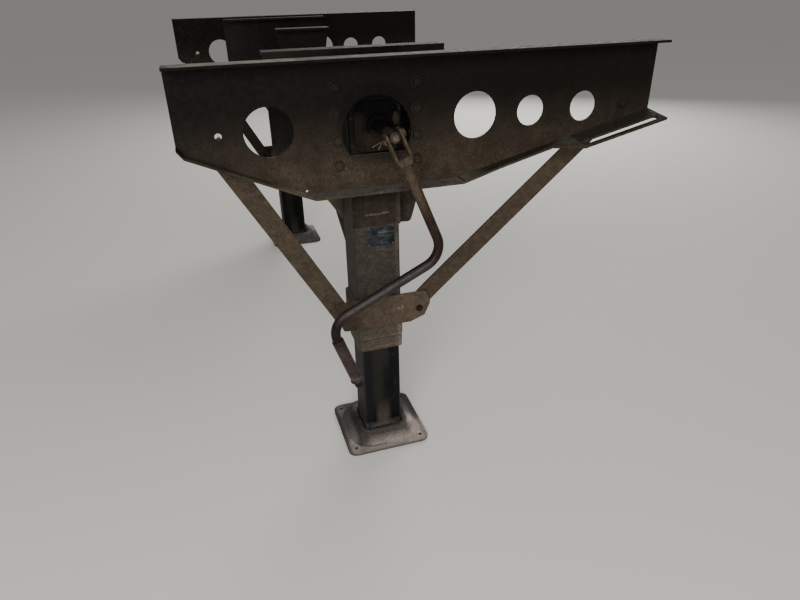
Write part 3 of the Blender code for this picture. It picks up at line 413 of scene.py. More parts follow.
def cover_finish(tones):
    """Grease and painted shade make the gear cover's upper half near black, with brown dirt below."""
    look = Look("Cover grease and painted shade", 0.04)
    cloud = look.grain(30.0, 0.35, 0.65, detail=8.0)
    look.colour = look.mottled(cloud, tones.plate_tone, 0.65, 1.40)
    # Near black over the upper half: grease and painted shade
    look.lay(lighter(tones.grease_and_shade_tone, 0.5), look.span("Z", 0.948, 0.966, 0.006))
    front = look.less(look.span("X", -0.040, -0.022, 0.004))
    look.lay(lighter(tones.plate_tone, 0.7), front, look.less(look.span("Z", 0.990, 1.012, 0.004)), 0.85)
    look.speckle(0.25)
    return look.finish(cloud, (0.60, 0.85), cloud, 0.0008)


def greased_leg(tones):
    """Glossy black grease with an olive band, rust runs low down and dried dirt on the side faces.
    The faces towards the middle get painted shade.
    """
    look = Look("Leg grease", 0.10)
    streaks = look.grain(30.0, 0.42, 0.66, stretch=(1.0, 1.0, 0.06), detail=8.0)
    look.colour = look.mottled(streaks, tones.grease_and_shade_tone, 1.0, 1.9)
    look.tone(look.span("X", -0.020, 0.030), 1.25, 0.75)
    olive = look.times(look.stretch("X", (-0.037, -0.023, 0.003), (-0.006, 0.008, 0.004)),
                       look.grain(26.0, 0.12, 0.42, stretch=(1.0, 1.0, 0.25), seed=3.0),
                       look.span("Z", 0.09, 0.15))
    look.lay(OLIVE_FILM, olive)
    look.tone(look.away_from(0.017, 0.186, 0.006, 0.017), 0.45, 1.0)
    mouth = look.span("Z", 0.235, 0.285, 0.02, 6.0)
    look.lay(GREY_FILM, mouth, look.stretch("X", (-0.032, -0.020), (0.016, 0.026)), 0.8)
    runs = look.grain(24.0, 0.30, 0.54, stretch=(1.0, 1.0, 0.22), detail=8.0, seed=5.0)
    low = look.less(look.span("Z", 0.075, 0.145, 0.012))
    look.lay(LEG_RUST, runs, low, look.stretch("X", (-0.027, -0.014, 0.003), (0.012, 0.026, 0.003)))
    smears = look.grain(40.0, 0.60, 0.68, stretch=(1.0, 1.0, 0.5), detail=4.0, seed=27.0)
    look.lay(SMEARED_GREASE, smears, 0.5)
    side = look.facing((-1.0, 0.0, 0.0), 0.50, 0.80)
    look.lay(SIDE_DIRT, side, look.grain(35.0, 0.22, 0.58, seed=9.0, stretch=(1.0, 1.0, 0.3)))
    look.lay(LEG_SPECKS, look.grain(120.0, 0.64, 0.74, seed=15.0), 0.35)
    dirty = look.less(look.span("Z", 0.040, 0.062, 0.006))
    look.lay(POCKET_DIRT, dirty, look.grain(50.0, 0.20, 0.55, seed=31.0), 0.85)
    look.speckle(0.22, 2.0)
    # Painted shade on the faces towards the middle
    look.tone(look.facing_middle(), 1.0, 0.5)
    dull = look.larger(look.larger(side, streaks), olive)
    return look.finish(dull, (0.22, 0.62), streaks, 0.0005)


def crease(look):
    """1 along the foot of the ring at the foot's front, outer corner."""
    half = 0.041  # the flat part of the ring's half side
    outward = look.math("SUBTRACT", look.math("ABSOLUTE", look.past_middle()), TRACK / 2.0 + half)
    forward = look.math("SUBTRACT", -half, look.place("X"))
    reach = look.length(look.larger(forward, 0.0), look.larger(outward, 0.0))
    apart = look.math("ABSOLUTE", look.math("SUBTRACT", reach, 0.071))
    return look.times(look.ranged(apart, 0.0022, 0.0008), look.ranged(outward, 0.020, 0.045),
                      look.ranged(look.place("X"), 0.010, -0.030))


def foot_dust_and_painted_light(tones):
    """Pale dust, paler towards +X and on faces looking along +X as painted light. Painted shade darkens the
    inner side, faces looking along -X, steep faces, the rims and the ring's crease, and the leg's painted
    shadow lies on the ring in front of it.
    """
    look = Look("Foot dust and painted light")
    dust = look.grain(34.0, 0.35, 0.70, detail=8.0, seed=2.0)
    look.colour = look.mottled(dust, tones.foot_tone, 0.80, 1.15)
    # Painted light, growing towards +X
    look.tone(look.span("X", -0.11, 0.10), 0.90, 1.65)
    # Painted shade on the inner side, laid where the reach from the middle is short
    cloud = look.grain(22.0, 0.30, 0.70, detail=9.0)
    reach = look.math("ADD", look.times(look.outboard(0.845, 0.945, 0.12), 0.8), look.times(cloud, 0.2))
    look.lay(look.mottled(cloud, tones.shade_tone, 0.80, 1.25), look.ranged(reach, 0.75, 0.25))
    # Painted shade on faces looking along -X, painted light on those looking along +X
    look.tone(look.facing((-1.0, 0.0, 0.0), 0.10, 0.35), 1.0, 0.45)
    look.tone(look.facing((1.0, 0.0, 0.0), 0.10, 0.35), 1.0, 1.6)
    # The leg's painted shadow on the ring in front of it
    crown = look.times(look.stretch("X", (-0.098, -0.085), (0.066, 0.086, 0.004)),
                       look.outboard(0.800, 0.840), look.less(look.outboard(0.963, 0.979)))
    look.tone(crown, 1.0, 0.20)
    # Painted shade on the +X side towards the middle
    rear = look.times(look.span("X", 0.065, 0.085), look.less(look.outboard(0.890, 0.925)))
    look.tone(rear, 1.0, 0.42)
    # Painted shade along the rims
    rim = look.larger(look.times(look.outboard(0.985, 0.995), 0.4), look.span("X", 0.108, 0.116))
    rim = look.larger(rim, look.less(look.span("X", -0.122, -0.116)))
    look.tone(rim, 1.0, 0.55)
    look.tone(look.stretch("X", (-0.120, -0.112), (-0.100, -0.088)), 1.0, 1.6)
    # Painted shade in the crease at the ring's foot
    look.tone(crease(look), 1.0, 0.30)
    grit = look.grain(230.0, 0.42, 0.66, seed=4.0)
    look.lay(PALE_GRIT, grit, 0.25)
    look.lay(BARE_SPOTS, look.grain(60.0, 0.60, 0.70, seed=8.0), 0.6)
    # Painted shade on the steep faces
    look.lay(lighter(tones.shade_tone, 0.8), look.less(look.facing(UP, 0.20, 0.70)), 0.75)
    look.speckle(0.36, 6.0, 300.0)
    return look.finish(grit, (0.62, 0.92), grit, 0.0009)


def crank_finish(tones, name, paint, rubbed_from, rubbed_to, edge=0.8, shades=(), ring=None,
                 highlight_heights=None, specular=0.15):
    """Chipped paint, worn to rusted steel above a height. Shades give two heights and the factors there,
    a ring gives the height and two half widths of a pale band, and the highlight heights are the two
    heights between which the outer side gets a grey painted highlight."""
    look = Look(name, specular)
    look.colour = look.mottled(look.grain(14.0, 0.35, 0.65, seed=2.0), paint, 0.60, 1.40)
    chips = look.grain(95.0, 0.56, 0.66, detail=8.0, seed=6.0)
    look.lay(lighter(paint, 2.0), chips, 0.6)
    look.lay(GREY_WEAR, look.grain(30.0, 0.50, 0.66, detail=8.0, seed=16.0), 0.3)
    # Painted highlight: grey on the side of the bar that looks towards the light
    if highlight_heights:
        low, high = highlight_heights
        highlight_band = look.stretch("Z", (low, low + 0.03, 0.006), (high - 0.03, high, 0.006))
        look.lay(tones.painted_highlight_tone, highlight_band, look.facing((-0.16, -0.90, 0.40), 0.55, 0.97),
                 look.grain(26.0, 0.15, 0.55, seed=26.0))
    for low, high, below, above in shades:
        look.tone(look.span("Z", low, high, 0.004), below, above)
    if ring:
        look.lay(GRIP_RING, look.band("Z", *ring))
    rubbed = look.times(look.span("Z", rubbed_from, rubbed_to), look.grain(40.0, 0.12, 0.45, seed=10.0))
    steel = look.mottled(look.grain(70.0, 0.35, 0.65, seed=13.0), tones.rubbed_tone, 0.65, 1.25)
    look.lay(steel, rubbed, 0.92)
    look.lay(lighter(tones.rubbed_tone, 1.5), look.worn(80.0, 18.0), edge)
    look.speckle(0.25, 9.0)
    return look.finish(look.larger(chips, rubbed), (0.38, 0.72), chips, 0.0006)


def label_finish(tones):
    """A faded, scratched coating, darker towards its right edge."""
    look = Look("Label coating", 0.15)
    fade = look.grain(60.0, 0.38, 0.64, seed=3.0)
    look.colour = look.mottled(fade, tones.label_tone, 0.28, 1.35)
    scratches = look.grain(75.0, 0.56, 0.63, stretch=(0.30, 1.0, 1.6), seed=14.0)
    look.lay(LABEL_SCRATCHES, scratches, 0.8)
    look.tone(look.span("X", 0.020, 0.036, 0.003), 1.0, 0.55)
    look.lay(lighter(tones.tube_tone, 0.6), look.grain(34.0, 0.52, 0.66, seed=21.0), 0.6)
    look.speckle(0.30, 5.0)
    return look.finish(fade, (0.42, 0.70), scratches, 0.0002)


def rubbed_steel(name, dark, pale, greased=None):
    """Bare steel of pins and shafts, browned between its rubbed places. Greased gives two places on Y,
    between which black grease begins."""
    look = Look(name, 0.30)
    dull = look.grain(70.0, 0.35, 0.65, seed=1.0)
    look.colour = look.mixed(dull, pale, dark)
    if greased:
        look.tone(look.span("Y", *greased), 1.0, 0.12)
    look.shader.inputs["Metallic"].default_value = 0.35
    return look.finish(dull, (0.38, 0.70), dull, 0.0003)


MAKERS = {
    "plate": lambda tones: worn_steel(
        tones, "Plate paint", tones.plate_tone, 0.34, 0.90, 0.15, (0.84, 1.04, 0.6), 0.8, seed=1.0,
        # On Z, painted shade that deepens towards the top; on X, paler towards the right and darker at the
        # left end
        shades=(("Z", 0.84, 1.03, 1.05, 0.33), ("Z", 0.93, 1.03, 1.15, 0.62),
                ("X", 0.50, 0.64, 1.0, 1.2), ("X", -0.38, -0.24, 0.88, 1.0)),
        stain_and_shade=(0.0, SHAFT_Z, 0.088, 0.106, 0.6),
        # A dark seam on the flange, and painted light on the left end's sloping flange
        lines=(("X", 0.2115, 0.0012, 0.0026, 0.15), ("X", -0.315, 0.124, 0.14, 1.9))),
    "hanger": lambda tones: worn_steel(
        tones, "Hanger paint", HANGER_PAINT, 0.34, 0.50, 0.20, (0.66, 0.90, 0.6), seed=41.0,
        # Painted shade: darker right of the gear head and towards the top behind the wing plate, paler
        # further right and to the left
        shades=(("X", 0.030, 0.060, 1.0, 0.40), ("X", 0.100, 0.125, 1.0, 3.8),
                ("X", -0.085, -0.055, 2.0, 1.0), ("X", -0.18, -0.14, 1.5, 1.0),
                ("Z", 0.80, 0.92, 1.1, 0.22))),
    "tube": lambda tones: worn_steel(
        tones, "Tube paint", tones.tube_tone, 0.30, 0.60, 0.30, (0.36, 0.52, 0.45), scratched=0.25, seed=5.0,
        # Painted shade on the left side; paler at the right edge and below the collar
        shades=(("X", -0.062, -0.035, 0.85, 1.0), ("X", 0.044, 0.058, 1.0, 1.8),
                ("Z", 0.41, 0.46, 1.5, 1.0)),
        # A pale line on a weld bead with a painted shadow under it, and the worn bottom edge
        lines=(("Z", 0.3665, 0.001, 0.0026, 1.5), ("Z", 0.3625, 0.0008, 0.002, 0.6),
               ("Z", 0.334, 0.001, 0.004, 1.4))),
    "head": lambda tones: worn_steel(
        tones, "Head paint", HEAD_PAINT, 0.38, 0.60, 0.30, scratched=0.15, seed=45.0,
        # Painted shade on the case inside the wing plate's opening
        stain_and_shade=(0.030, 0.985, 0.082, 0.112, 0.10),
        # Painted shade on the left side; paler at the right edge and darker at the top
        shades=(("X", -0.062, -0.040, 0.55, 1.0), ("X", 0.048, 0.057, 1.0, 1.8),
                ("Z", 0.765, 0.790, 1.0, 0.6))),
    "cover": cover_finish,
    "brace": lambda tones: worn_steel(
        # Deep painted shade on the faces towards the middle, which darkens the far braces
        tones, "Brace rust", lighter(tones.brace_tone, 0.82), 0.45, 0.50, 0.40, scratched=0.20, inward_shade=0.30,
        fine=0.22, seed=13.0),
    "collar": lambda tones: worn_steel(
        tones, "Collar rust", lighter(tones.brace_tone, 0.98), 0.35, 0.50, 0.50, (0.38, 0.60, 0.45),
        # Painted shade on the faces towards the middle
        scratched=0.45, fine=0.24, inward_shade=0.25, seed=33.0,
        shades=(("X", -0.080, -0.045, 0.62, 1.0), ("X", -0.02, 0.08, 0.95, 1.15)),
        scuff=(0.055, 0.46, 0.012)),
    "bolt": lambda tones: worn_steel(
        tones, "Bolt rust", lighter(tones.plate_tone, 1.25), 0.42, 0.40, 0.35, (0.86, 1.04, 0.6), seed=17.0,
        # Painted shade that deepens towards the top, as on the plates
        shades=(("Z", 0.84, 1.03, 0.95, 0.33),)),
    "low_bolt": lambda tones: worn_steel(tones, "Grimy bolts", BOLT_GRIME, 0.40, 0.30, 0.20, seed=18.0),
    "weld": lambda tones: worn_steel(
        tones, "Weld rust", lighter(tones.tube_tone, 1.9), 0.45, 0.40, seed=21.0),
    "leg": greased_leg,
    "foot": foot_dust_and_painted_light,
    "crank": lambda tones: crank_finish(
        # A grey painted highlight on the bar between two heights
        tones, "Crank paint", tones.crank_tone, 0.770, 0.830, highlight_heights=(0.530, 0.675),
        shades=((0.520, 0.560, 0.60, 1.0), (0.700, 0.760, 1.0, 1.35))),
    "grip": lambda tones: crank_finish(
        tones, "Grip paint", tones.grip_tone, 1.5, 2.0, 0.1, ring=(0.368, 0.003, 0.0045), specular=0.12,
        shades=((0.440, 0.490, 1.0, 0.50), (0.352, 0.362, 0.30, 1.0))),
    "label": label_finish,
    "bright": lambda tones: rubbed_steel("Rubbed steel", BRIGHT_DARK, BRIGHT_PALE),
    "shaft": lambda tones: rubbed_steel("Shaft steel", SHAFT_DARK, SHAFT_PALE, (-0.205, -0.175)),
}
FINISHES = {}


def finish(name):
    """A finish by name, made the first time it is asked for."""
    if name not in FINISHES:
        FINISHES[name] = MAKERS[name](bpy.context.scene.gear_finish)
    return FINISHES[name]


# Shapes

def extrude(bm, end, first, matrix):
    """Extrudes an end, moves the new one by a matrix and gives it. The first end stays as a cap."""
    made = bmesh.ops.extrude_face_region(bm, geom=end)["geom"]
    if not first:
        bmesh.ops.delete(bm, geom=end, context="FACES_ONLY")
    verts = [item for item in made if isinstance(item, bmesh.types.BMVert)]
    bmesh.ops.transform(bm, matrix=matrix, verts=verts)
    return [item for item in made if isinstance(item, bmesh.types.BMFace)]


def add_disc(bm, sides, radius, matrix):
    disc = bmesh.ops.create_circle(bm, cap_ends=True, segments=sides, radius=radius, matrix=matrix)
    return list({face for vert in disc["verts"] for face in vert.link_faces})


def aimed(point, direction):
    """A place whose own Z looks along a direction."""
    turn = Vector(direction).normalized().to_track_quat("Z", "Y").to_matrix().to_4x4()
    return Matrix.Translation(point) @ turn


def round_edges(bm, edges, radius, segments=2):
    if edges:
        return bmesh.ops.bevel(bm, geom=edges, offset=radius, offset_type="OFFSET", affect="EDGES",
                               segments=segments, profile=0.5, material=-1, clamp_overlap=True)["faces"]
    return []


def sharp_edges(bm, degrees=30.0):
    return [edge for edge in bm.edges if edge.is_manifold and edge.calc_face_angle(0.0) > radians(degrees)]


def add_block(bm, low, high):
    """A block between two corners."""
    middle = (Vector(low) + Vector(high)) / 2.0
    size = Vector(high) - Vector(low)
    bmesh.ops.create_cube(bm, size=1.0, matrix=Matrix.Translation(middle) @ Matrix.Diagonal((*size, 1.0)))


def add_turned(bm, place, profile, sides):
    """A round or many-sided piece, extruded along its axis through pairs of a radius and a height."""
    radius, rise = profile[0]
    here = place @ Matrix.Translation((0.0, 0.0, rise))
    end = add_disc(bm, sides, radius, here)
    for i, (wide, high) in enumerate(profile[1:]):
        there = place @ Matrix.Translation((0.0, 0.0, high))
        spread = Matrix.Diagonal((wide / radius, wide / radius, 1.0, 1.0))
        end = extrude(bm, end, i == 0, there @ spread @ here.inverted())
        here, radius = there, wide


def add_swept(bm, path, radii, sides):
    """A round bar extruded from point to point of a path, with its own radius at each."""
    tangents = []
    for i in range(len(path)):
        tangents.append((path[min(i + 1, len(path) - 1)] - path[max(i - 1, 0)]).normalized())
    turn = tangents[0].to_track_quat("Z", "Y")
    here = Matrix.Translation(path[0]) @ turn.to_matrix().to_4x4() @ Matrix.Scale(radii[0], 4)
    end = add_disc(bm, sides, 1.0, here)
    for i in range(1, len(path)):
        turn = tangents[i - 1].rotation_difference(tangents[i]) @ turn
        there = Matrix.Translation(path[i]) @ turn.to_matrix().to_4x4() @ Matrix.Scale(radii[i], 4)
        end = extrude(bm, end, i == 1, there @ here.inverted())
        here = there


def bent_path(corners, bend, steps=10):
    """Points along straights whose corners are rounded to one radius."""
    points = [corners[0]]
    for i in range(1, len(corners) - 1):
        before = (corners[i] - corners[i - 1]).normalized()
        after = (corners[i + 1] - corners[i]).normalized()
        reach = bend * tan(before.angle(after) / 2.0)
        axis = before.cross(after).normalized()
        start = corners[i] - before * reach
        centre = start + axis.cross(before) * bend
        for k in range(steps + 1):
            turn = Matrix.Rotation(before.angle(after) * k / steps, 3, axis)
            points.append(centre + turn @ (start - centre))
    points.append(corners[-1])
    return points


# Profiles of fasteners, as radii and heights in diameters of the thread
WASHER = ((1.05, 0.0), (1.12, 0.04), (1.12, 0.15), (1.02, 0.19))
WASHER_TOP = 0.19
HEX_HEAD = ((0.86, 0.0), (0.87, 0.50), (0.74, 0.62))
NUT = ((0.78, 0.19), (0.87, 0.29), (0.87, 0.90), (0.76, 1.00))
BOLT_END = ((0.49, 0.99), (0.49, 1.25), (0.42, 1.32))


def add_fastener(bm, place, profile, size, sides, base=0.0):
    add_turned(bm, place, [(wide * size, (base + high) * size) for wide, high in profile], sides)


def add_bolt(bm, point, direction, size, washer=True):
    """A plain hexagon head with a chamfer, on a washer."""
    place = aimed(point, direction)
    if washer:
        add_fastener(bm, place, WASHER, size, 24)
    add_fastener(bm, place, HEX_HEAD, size, 6, WASHER_TOP if washer else 0.0)


def add_nut(bm, point, direction, size):
    """A nut on a washer with the bolt's end standing out of it."""
    place = aimed(point, direction)
    add_fastener(bm, place, WASHER, size, 24)
    add_fastener(bm, place, NUT, size, 6)
    add_fastener(bm, place, BOLT_END, size, 16)


def add_weld(bm, corners, radius, seed=0):
    """A rippled bead from corner to corner."""
    path = [Vector(corner) for corner in corners]
    points = []
    for start, stop in zip(path, path[1:]):
        count = max(2, int((stop - start).length / (0.9 * radius)))
        points += [start.lerp(stop, k / count) for k in range(count)]
    points.append(path[-1])
    radii = []
    for i in range(len(points)):
        ripple = 0.16 * sin(2.1 * i + seed) + 0.10 * sin(0.73 * i + 2.0 * seed)
        radii.append(radius * (1.0 + ripple))
    radii[0] = radii[-1] = 0.4 * radius
    add_swept(bm, points, radii, 8)


# Objects

def make_object(bm, name, body, look, smooth):
    """Turns a mesh into an object that rides on a body. Smooth is the sharpest angle shaded round."""
    mesh = bpy.data.meshes.new(name)
    bm.to_mesh(mesh)
    bm.free()
    mesh.materials.append(finish(look))
    mesh.shade_smooth()
    mesh.set_sharp_from_angle(angle=radians(smooth))
    made = bpy.data.objects.new(name, mesh)
    bpy.context.scene.collection.objects.link(made)
    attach(made, body)
    return made


def place_piece(bm, name, body, look, smooth=35.0):
    bmesh.ops.remove_doubles(bm, verts=bm.verts[:], dist=MERGE)
    bmesh.ops.recalc_face_normals(bm, faces=bm.faces[:])
    return make_object(bm, name, body, look, smooth)


def place_pair(build, name, body, look, smooth=35.0):
    """A near piece and its mirror image on the far side."""
    for side in SIDES:
        bm = bmesh.new()
        build(bm)
        if side == "far":
            bmesh.ops.transform(bm, matrix=TO_FAR, verts=bm.verts[:])
        place_piece(bm, name + "_" + side, body, look, smooth)


def soften(node, body, look, radius, segments=2):
    """Replaces a node with a copy whose edges are rounded and marked for wear."""
    bm = bmesh.new()
    bm.from_mesh(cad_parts[node].data)
    bmesh.ops.remove_doubles(bm, verts=bm.verts[:], dist=MERGE)
    bmesh.ops.dissolve_limit(bm, angle_limit=radians(1.0), use_dissolve_boundaries=False, verts=bm.verts[:],
                             edges=bm.edges[:], delimit=set())
    worn = round_edges(bm, sharp_edges(bm), radius, segments)
    wear = bm.faces.layers.float.new(WEAR)
    for face in worn:
        if face.is_valid:
            face[wear] = 1.0
    made = make_object(bm, node + "_steel", body, look, 50.0)
    weigh = made.modifiers.new("Flat faces stay flat", "WEIGHTED_NORMAL")
    weigh.keep_sharp = True
    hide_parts(node)


def redress(node, look):
    """Gives a node that keeps its own mesh a better finish."""
    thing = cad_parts[node]
    for slot in thing.material_slots:
        slot.material = finish(look)


# Operators

class GEAR_OT_plates(bpy.types.Operator):
    """Hanger plates and the centre bracket, with rounded edges"""
    bl_idname = "gear.plates"
    bl_label = "Hanger Plates"

    def execute(self, context):
        detail = context.scene.gear_detail
        for side in SIDES:
            soften("wing_plate_" + side, "frame", "plate", detail.plate_edge)
            soften("inner_hanger_" + side, "frame", "hanger", detail.plate_edge)
        soften("centre_bracket", "frame", "plate", detail.plate_edge)
        return {"FINISHED"}


class GEAR_OT_heads(bpy.types.Operator):
    """Tubes, gear heads, their covers and their screws"""
    bl_idname = "gear.heads"
    bl_label = "Tubes and Gear Heads"

    def execute(self, context):
        detail = context.scene.gear_detail
        for side in SIDES:
            soften("outer_tube_" + side, "frame", "tube", detail.plate_edge)
            soften("head_case_" + side, "frame", "head", detail.casting_edge)
            soften("gear_cover_" + side, "frame", "cover", detail.casting_edge)

        def screws(bm):
            for x, z in COVER_SCREWS:
                add_bolt(bm, (x, COVER_FACE, z), OUTWARD, 0.008)
            for x, y in CAP_SCREWS:
                add_bolt(bm, (x, y, CAP_TOP), UP, 0.009)
        place_pair(screws, "head_screws", "frame", "cover")

        def lug(bm):
            place = aimed((0.0465, -0.0985, 0.985), OUTWARD) @ Matrix.Diagonal((0.55, 1.0, 1.0, 1.0))
            add_turned(bm, place, ((0.0165, 0.0), (0.0165, 0.003), (0.0145, 0.005), (0.0085, 0.0055)), 24)
        place_pair(lug, "cover_lug", "frame", "low_bolt")

        def fitting(bm):
            add_turned(bm, aimed((0.024, TUBE_FACE - 0.03, 0.826), (0.0, -0.3, -1.0)),
                       ((0.0045, -0.004), (0.0045, 0.003), (0.0026, 0.004), (0.0026, 0.008), (0.0034, 0.010),
                        (0.002, 0.013)), 16)
        place_pair(fitting, "grease_fitting", "frame", "bright")
        return {"FINISHED"}


class GEAR_OT_bracing(bpy.types.Operator):
    """Collars, fore and aft braces and sway braces"""
    bl_idname = "gear.bracing"
    bl_label = "Collars and Braces"

    def execute(self, context):
        detail = context.scene.gear_detail
        for side in SIDES:
            soften("collar_" + side, "frame", "collar", detail.casting_edge)
            for node, slot in (("front", "rusty_steel"), ("rear", "rusty_steel"), ("sway", "plate_paint")):
                soften(node + "_brace_" + side, "frame", "brace", detail.plate_edge)
        return {"FINISHED"}


class GEAR_OT_bolts(bpy.types.Operator):
    """Bolts and nuts that hold the plates, hangers and braces together"""
    bl_idname = "gear.bolts"
    bl_label = "Bolts"

    def execute(self, context):
        size = context.scene.gear_detail.bolt_size

        def plate_bolts(bm):
            for x in (-PLATE_BOLT_X, PLATE_BOLT_X):
                for z in PLATE_BOLT_HEIGHTS:
                    add_bolt(bm, (x, PLATE_FACE, z), OUTWARD, size)
                    add_nut(bm, (x, BOLTING_BACK, z), INWARD, size)
            x, z = END_BOLT
            add_bolt(bm, (x, PLATE_FACE, z), OUTWARD, size)
            add_nut(bm, (x, PLATE_BACK, z), INWARD, size)
        place_pair(plate_bolts, "plate_bolts", "frame", "bolt")

        def collar_bolts(bm):
            for x, z in COLLAR_BOLTS:
                add_bolt(bm, (x, COLLAR_FACE, z), OUTWARD, 0.72 * size)
                add_nut(bm, (x, EAR_BACK, z), INWARD, size)
            for z in REAR_BOLT_HEIGHTS:
                add_bolt(bm, (0.0, COLLAR_REAR, z), INWARD, 0.75 * size)
        place_pair(collar_bolts, "collar_bolts", "frame", "low_bolt")

        def hanger_bolts(bm):
            for x in (-HANGER_BOLT_X, HANGER_BOLT_X):
                for z in HANGER_BOLT_HEIGHTS:
                    add_bolt(bm, (x, HANGER_BACK, z), INWARD, 0.85 * size)
        place_pair(hanger_bolts, "hanger_bolts", "frame", "bolt")

        bm = bmesh.new()
        add_bolt(bm, (0.0, BRACKET_OUTER, BRACKET_BOLT_Z), OUTWARD, size)
        add_nut(bm, (0.0, BRACKET_INNER, BRACKET_BOLT_Z), INWARD, size)
        place_piece(bm, "bracket_bolt", "frame", "bolt")
        return {"FINISHED"}


class GEAR_OT_welds(bpy.types.Operator):
    """Weld beads round the collars, the gear heads and the braces' ends"""
    bl_idname = "gear.welds"
    bl_label = "Welds"

    def execute(self, context):
        radius = context.scene.gear_detail.weld_radius

        def seams(bm):
            side, z = 0.064, 0.4765  # half the tube's side, and the collar's top
            add_weld(bm, ((-0.050, -side, z), (0.050, -side, z)), radius)
            add_weld(bm, ((-0.050, side, z), (0.050, side, z)), radius, 2)
            for x in (-side, side):
                add_weld(bm, ((x, -0.050, z), (x, 0.050, z)), radius, 3)
            add_weld(bm, ((-0.060, -0.066, 0.7055), (0.060, -0.066, 0.7055)), 0.7 * radius, 4)
            ridge = ((-0.034, 0.74), (-0.018, 0.7415), (0.000, 0.7395), (0.016, 0.742), (0.033, 0.7435))
            add_weld(bm, [(x, CASE_FACE, z) for x, z in ridge], 1.1 * radius, 5)
            add_weld(bm, ((-0.028, CASE_FACE, 0.752), (0.004, CASE_FACE, 0.7505)), 0.7 * radius, 9)
            for x in (-0.0645, 0.0645):
                add_weld(bm, ((x, 0.0635, 0.770), (x, 0.0635, 1.080)), radius, 6)
        place_pair(seams, "weld_seams", "frame", "weld", 60.0)

        def brace_ends(bm):
            back = PLATE_BACK - 0.0005
            add_weld(bm, ((-0.408, back, 0.931), (-0.368, back, 0.954)), radius, 1)
            add_weld(bm, ((0.616, back, 0.961), (0.648, back, 0.924)), radius, 2)
        place_pair(brace_ends, "weld_brace_ends", "frame", "weld", 60.0)
        return {"FINISHED"}


class GEAR_OT_labels(bpy.types.Operator):
    """Blank label plates with their rivets on the tubes"""
    bl_idname = "gear.labels"
    bl_label = "Label Plates"

    def execute(self, context):
        front = TUBE_FACE - 0.0014
        (left, low), (right, high) = LABEL_LOW, LABEL_HIGH
        inset = 0.0042  # from the plate's edges to its rivets

        def sheet(bm):
            add_block(bm, (left, front, low), (right, TUBE_FACE - 0.0002, high))
            across = [edge for edge in bm.edges if abs((edge.verts[0].co - edge.verts[1].co).y) > 0.001]
            round_edges(bm, across, 0.003, 3)
        place_pair(sheet, "label_plate", "frame", "label")

        def rivets(bm):
            for x in (left + inset, right - inset):
                for z in (low + inset, high - inset):
                    add_turned(bm, aimed((x, front, z), OUTWARD),
                               ((0.0024, 0.0), (0.0021, 0.0008), (0.0011, 0.0013)), 12)
        place_pair(rivets, "label_rivets", "frame", "bright")
        return {"FINISHED"}


class GEAR_OT_legs(bpy.types.Operator):
    """Greased inner legs and their feet"""
    bl_idname = "gear.legs"
    bl_label = "Legs and Feet"

    def execute(self, context):
        detail = context.scene.gear_detail
        for side in SIDES:
            soften("inner_leg_" + side, side + "_leg", "leg", detail.plate_edge)
            soften("foot_" + side, side + "_leg", "foot", detail.foot_edge, 3)
            redress("nut_guide_" + side, "bolt")
        return {"FINISHED"}


class GEAR_OT_shafts(bpy.types.Operator):
    """Cross shaft, its couplings and the input shaft"""
    bl_idname = "gear.shafts"
    bl_label = "Shafts"

    def execute(self, context):
        redress("cross_shaft", "brace")
        redress("input_shaft", "shaft")
        bm = bmesh.new()
        add_turned(bm, aimed((0.0, -0.2509, SHAFT_Z), OUTWARD),
                   ((0.0075, 0.0), (0.0072, 0.001), (0.005, 0.0014)), 24)
        place_piece(bm, "shaft_centre", "drive", "bright")
        for side in SIDES:
            soften("coupling_" + side, "drive", "bolt", 0.001)

        def coupling_bolts(bm):
            for y in (0.100, 0.136):
                add_bolt(bm, (0.0205, y, SHAFT_Z), (1.0, 0.0, 0.0), 0.008, False)
                add_nut(bm, (-0.02, y, SHAFT_Z), (-1.0, 0.0, 0.0), 0.007)
        place_pair(coupling_bolts, "coupling_bolts", "drive", "bolt")
        return {"FINISHED"}


def along_crank(lean):
    """The direction straight down, turned towards the rear by some degrees."""
    return Vector((sin(radians(lean)), 0.0, -cos(radians(lean))))


class GEAR_OT_crank(bpy.types.Operator):
    """Folding hand crank with its yoke, pin, cotter and sleeve"""
    bl_idname = "gear.crank"
    bl_label = "Hand Crank"

    def execute(self, context):
        down = along_crank(ARM_LEAN)
        across = Vector((-down.z, 0.0, down.x))
        knee = PIN + down * CRANK_ARM
        elbow = knee + along_crank(REACH_LEAN) * CRANK_REACH
        tip = elbow + along_crank(HANDLE_LEAN) * CRANK_HANDLE
        bm = bmesh.new()
        path = bent_path([PIN + down * CRANK_NECK, knee, elbow, tip], CRANK_BEND)
        add_swept(bm, path, [CRANK_RADIUS] * len(path), 24)
        rod = place_piece(bm, "crank_bar", "crank", "crank")
        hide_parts("crank_rod")

        soften("crank_yoke", "crank", "crank", 0.0014)
        soften("crank_grip", "crank", "grip", 0.0008)
        redress("crank_pin", "shaft")

        wire = context.scene.gear_detail.wire_radius
        tail = PIN - across * 0.0255  # where the cotter passes through the pin's end
        loop = 0.0055  # radius of its ring
        steps = 16
        bm = bmesh.new()
        ring = []
        for k in range(steps + 1):
            turn = 2.0 * pi * k / steps
            ring.append(tail + Vector((0.0, -0.0098 - loop * cos(turn), 0.0)) + down * loop * sin(turn))
        add_swept(bm, ring, [wire] * len(ring), 8)
        for fall, reach in ((0.001, 0.026), (0.013, 0.016)):
            leg = []
            for y, share in ((-0.007, 0.0), (0.007, 0.0), (0.011, 0.3), (0.010, 1.0)):
                leg.append(tail + Vector((0.0, y, 0.0)) + down * share * fall - across * share * reach)
            add_swept(bm, leg, [wire] * len(leg), 8)
        place_piece(bm, "crank_cotter", "crank", "bright")
        return {"FINISHED"}


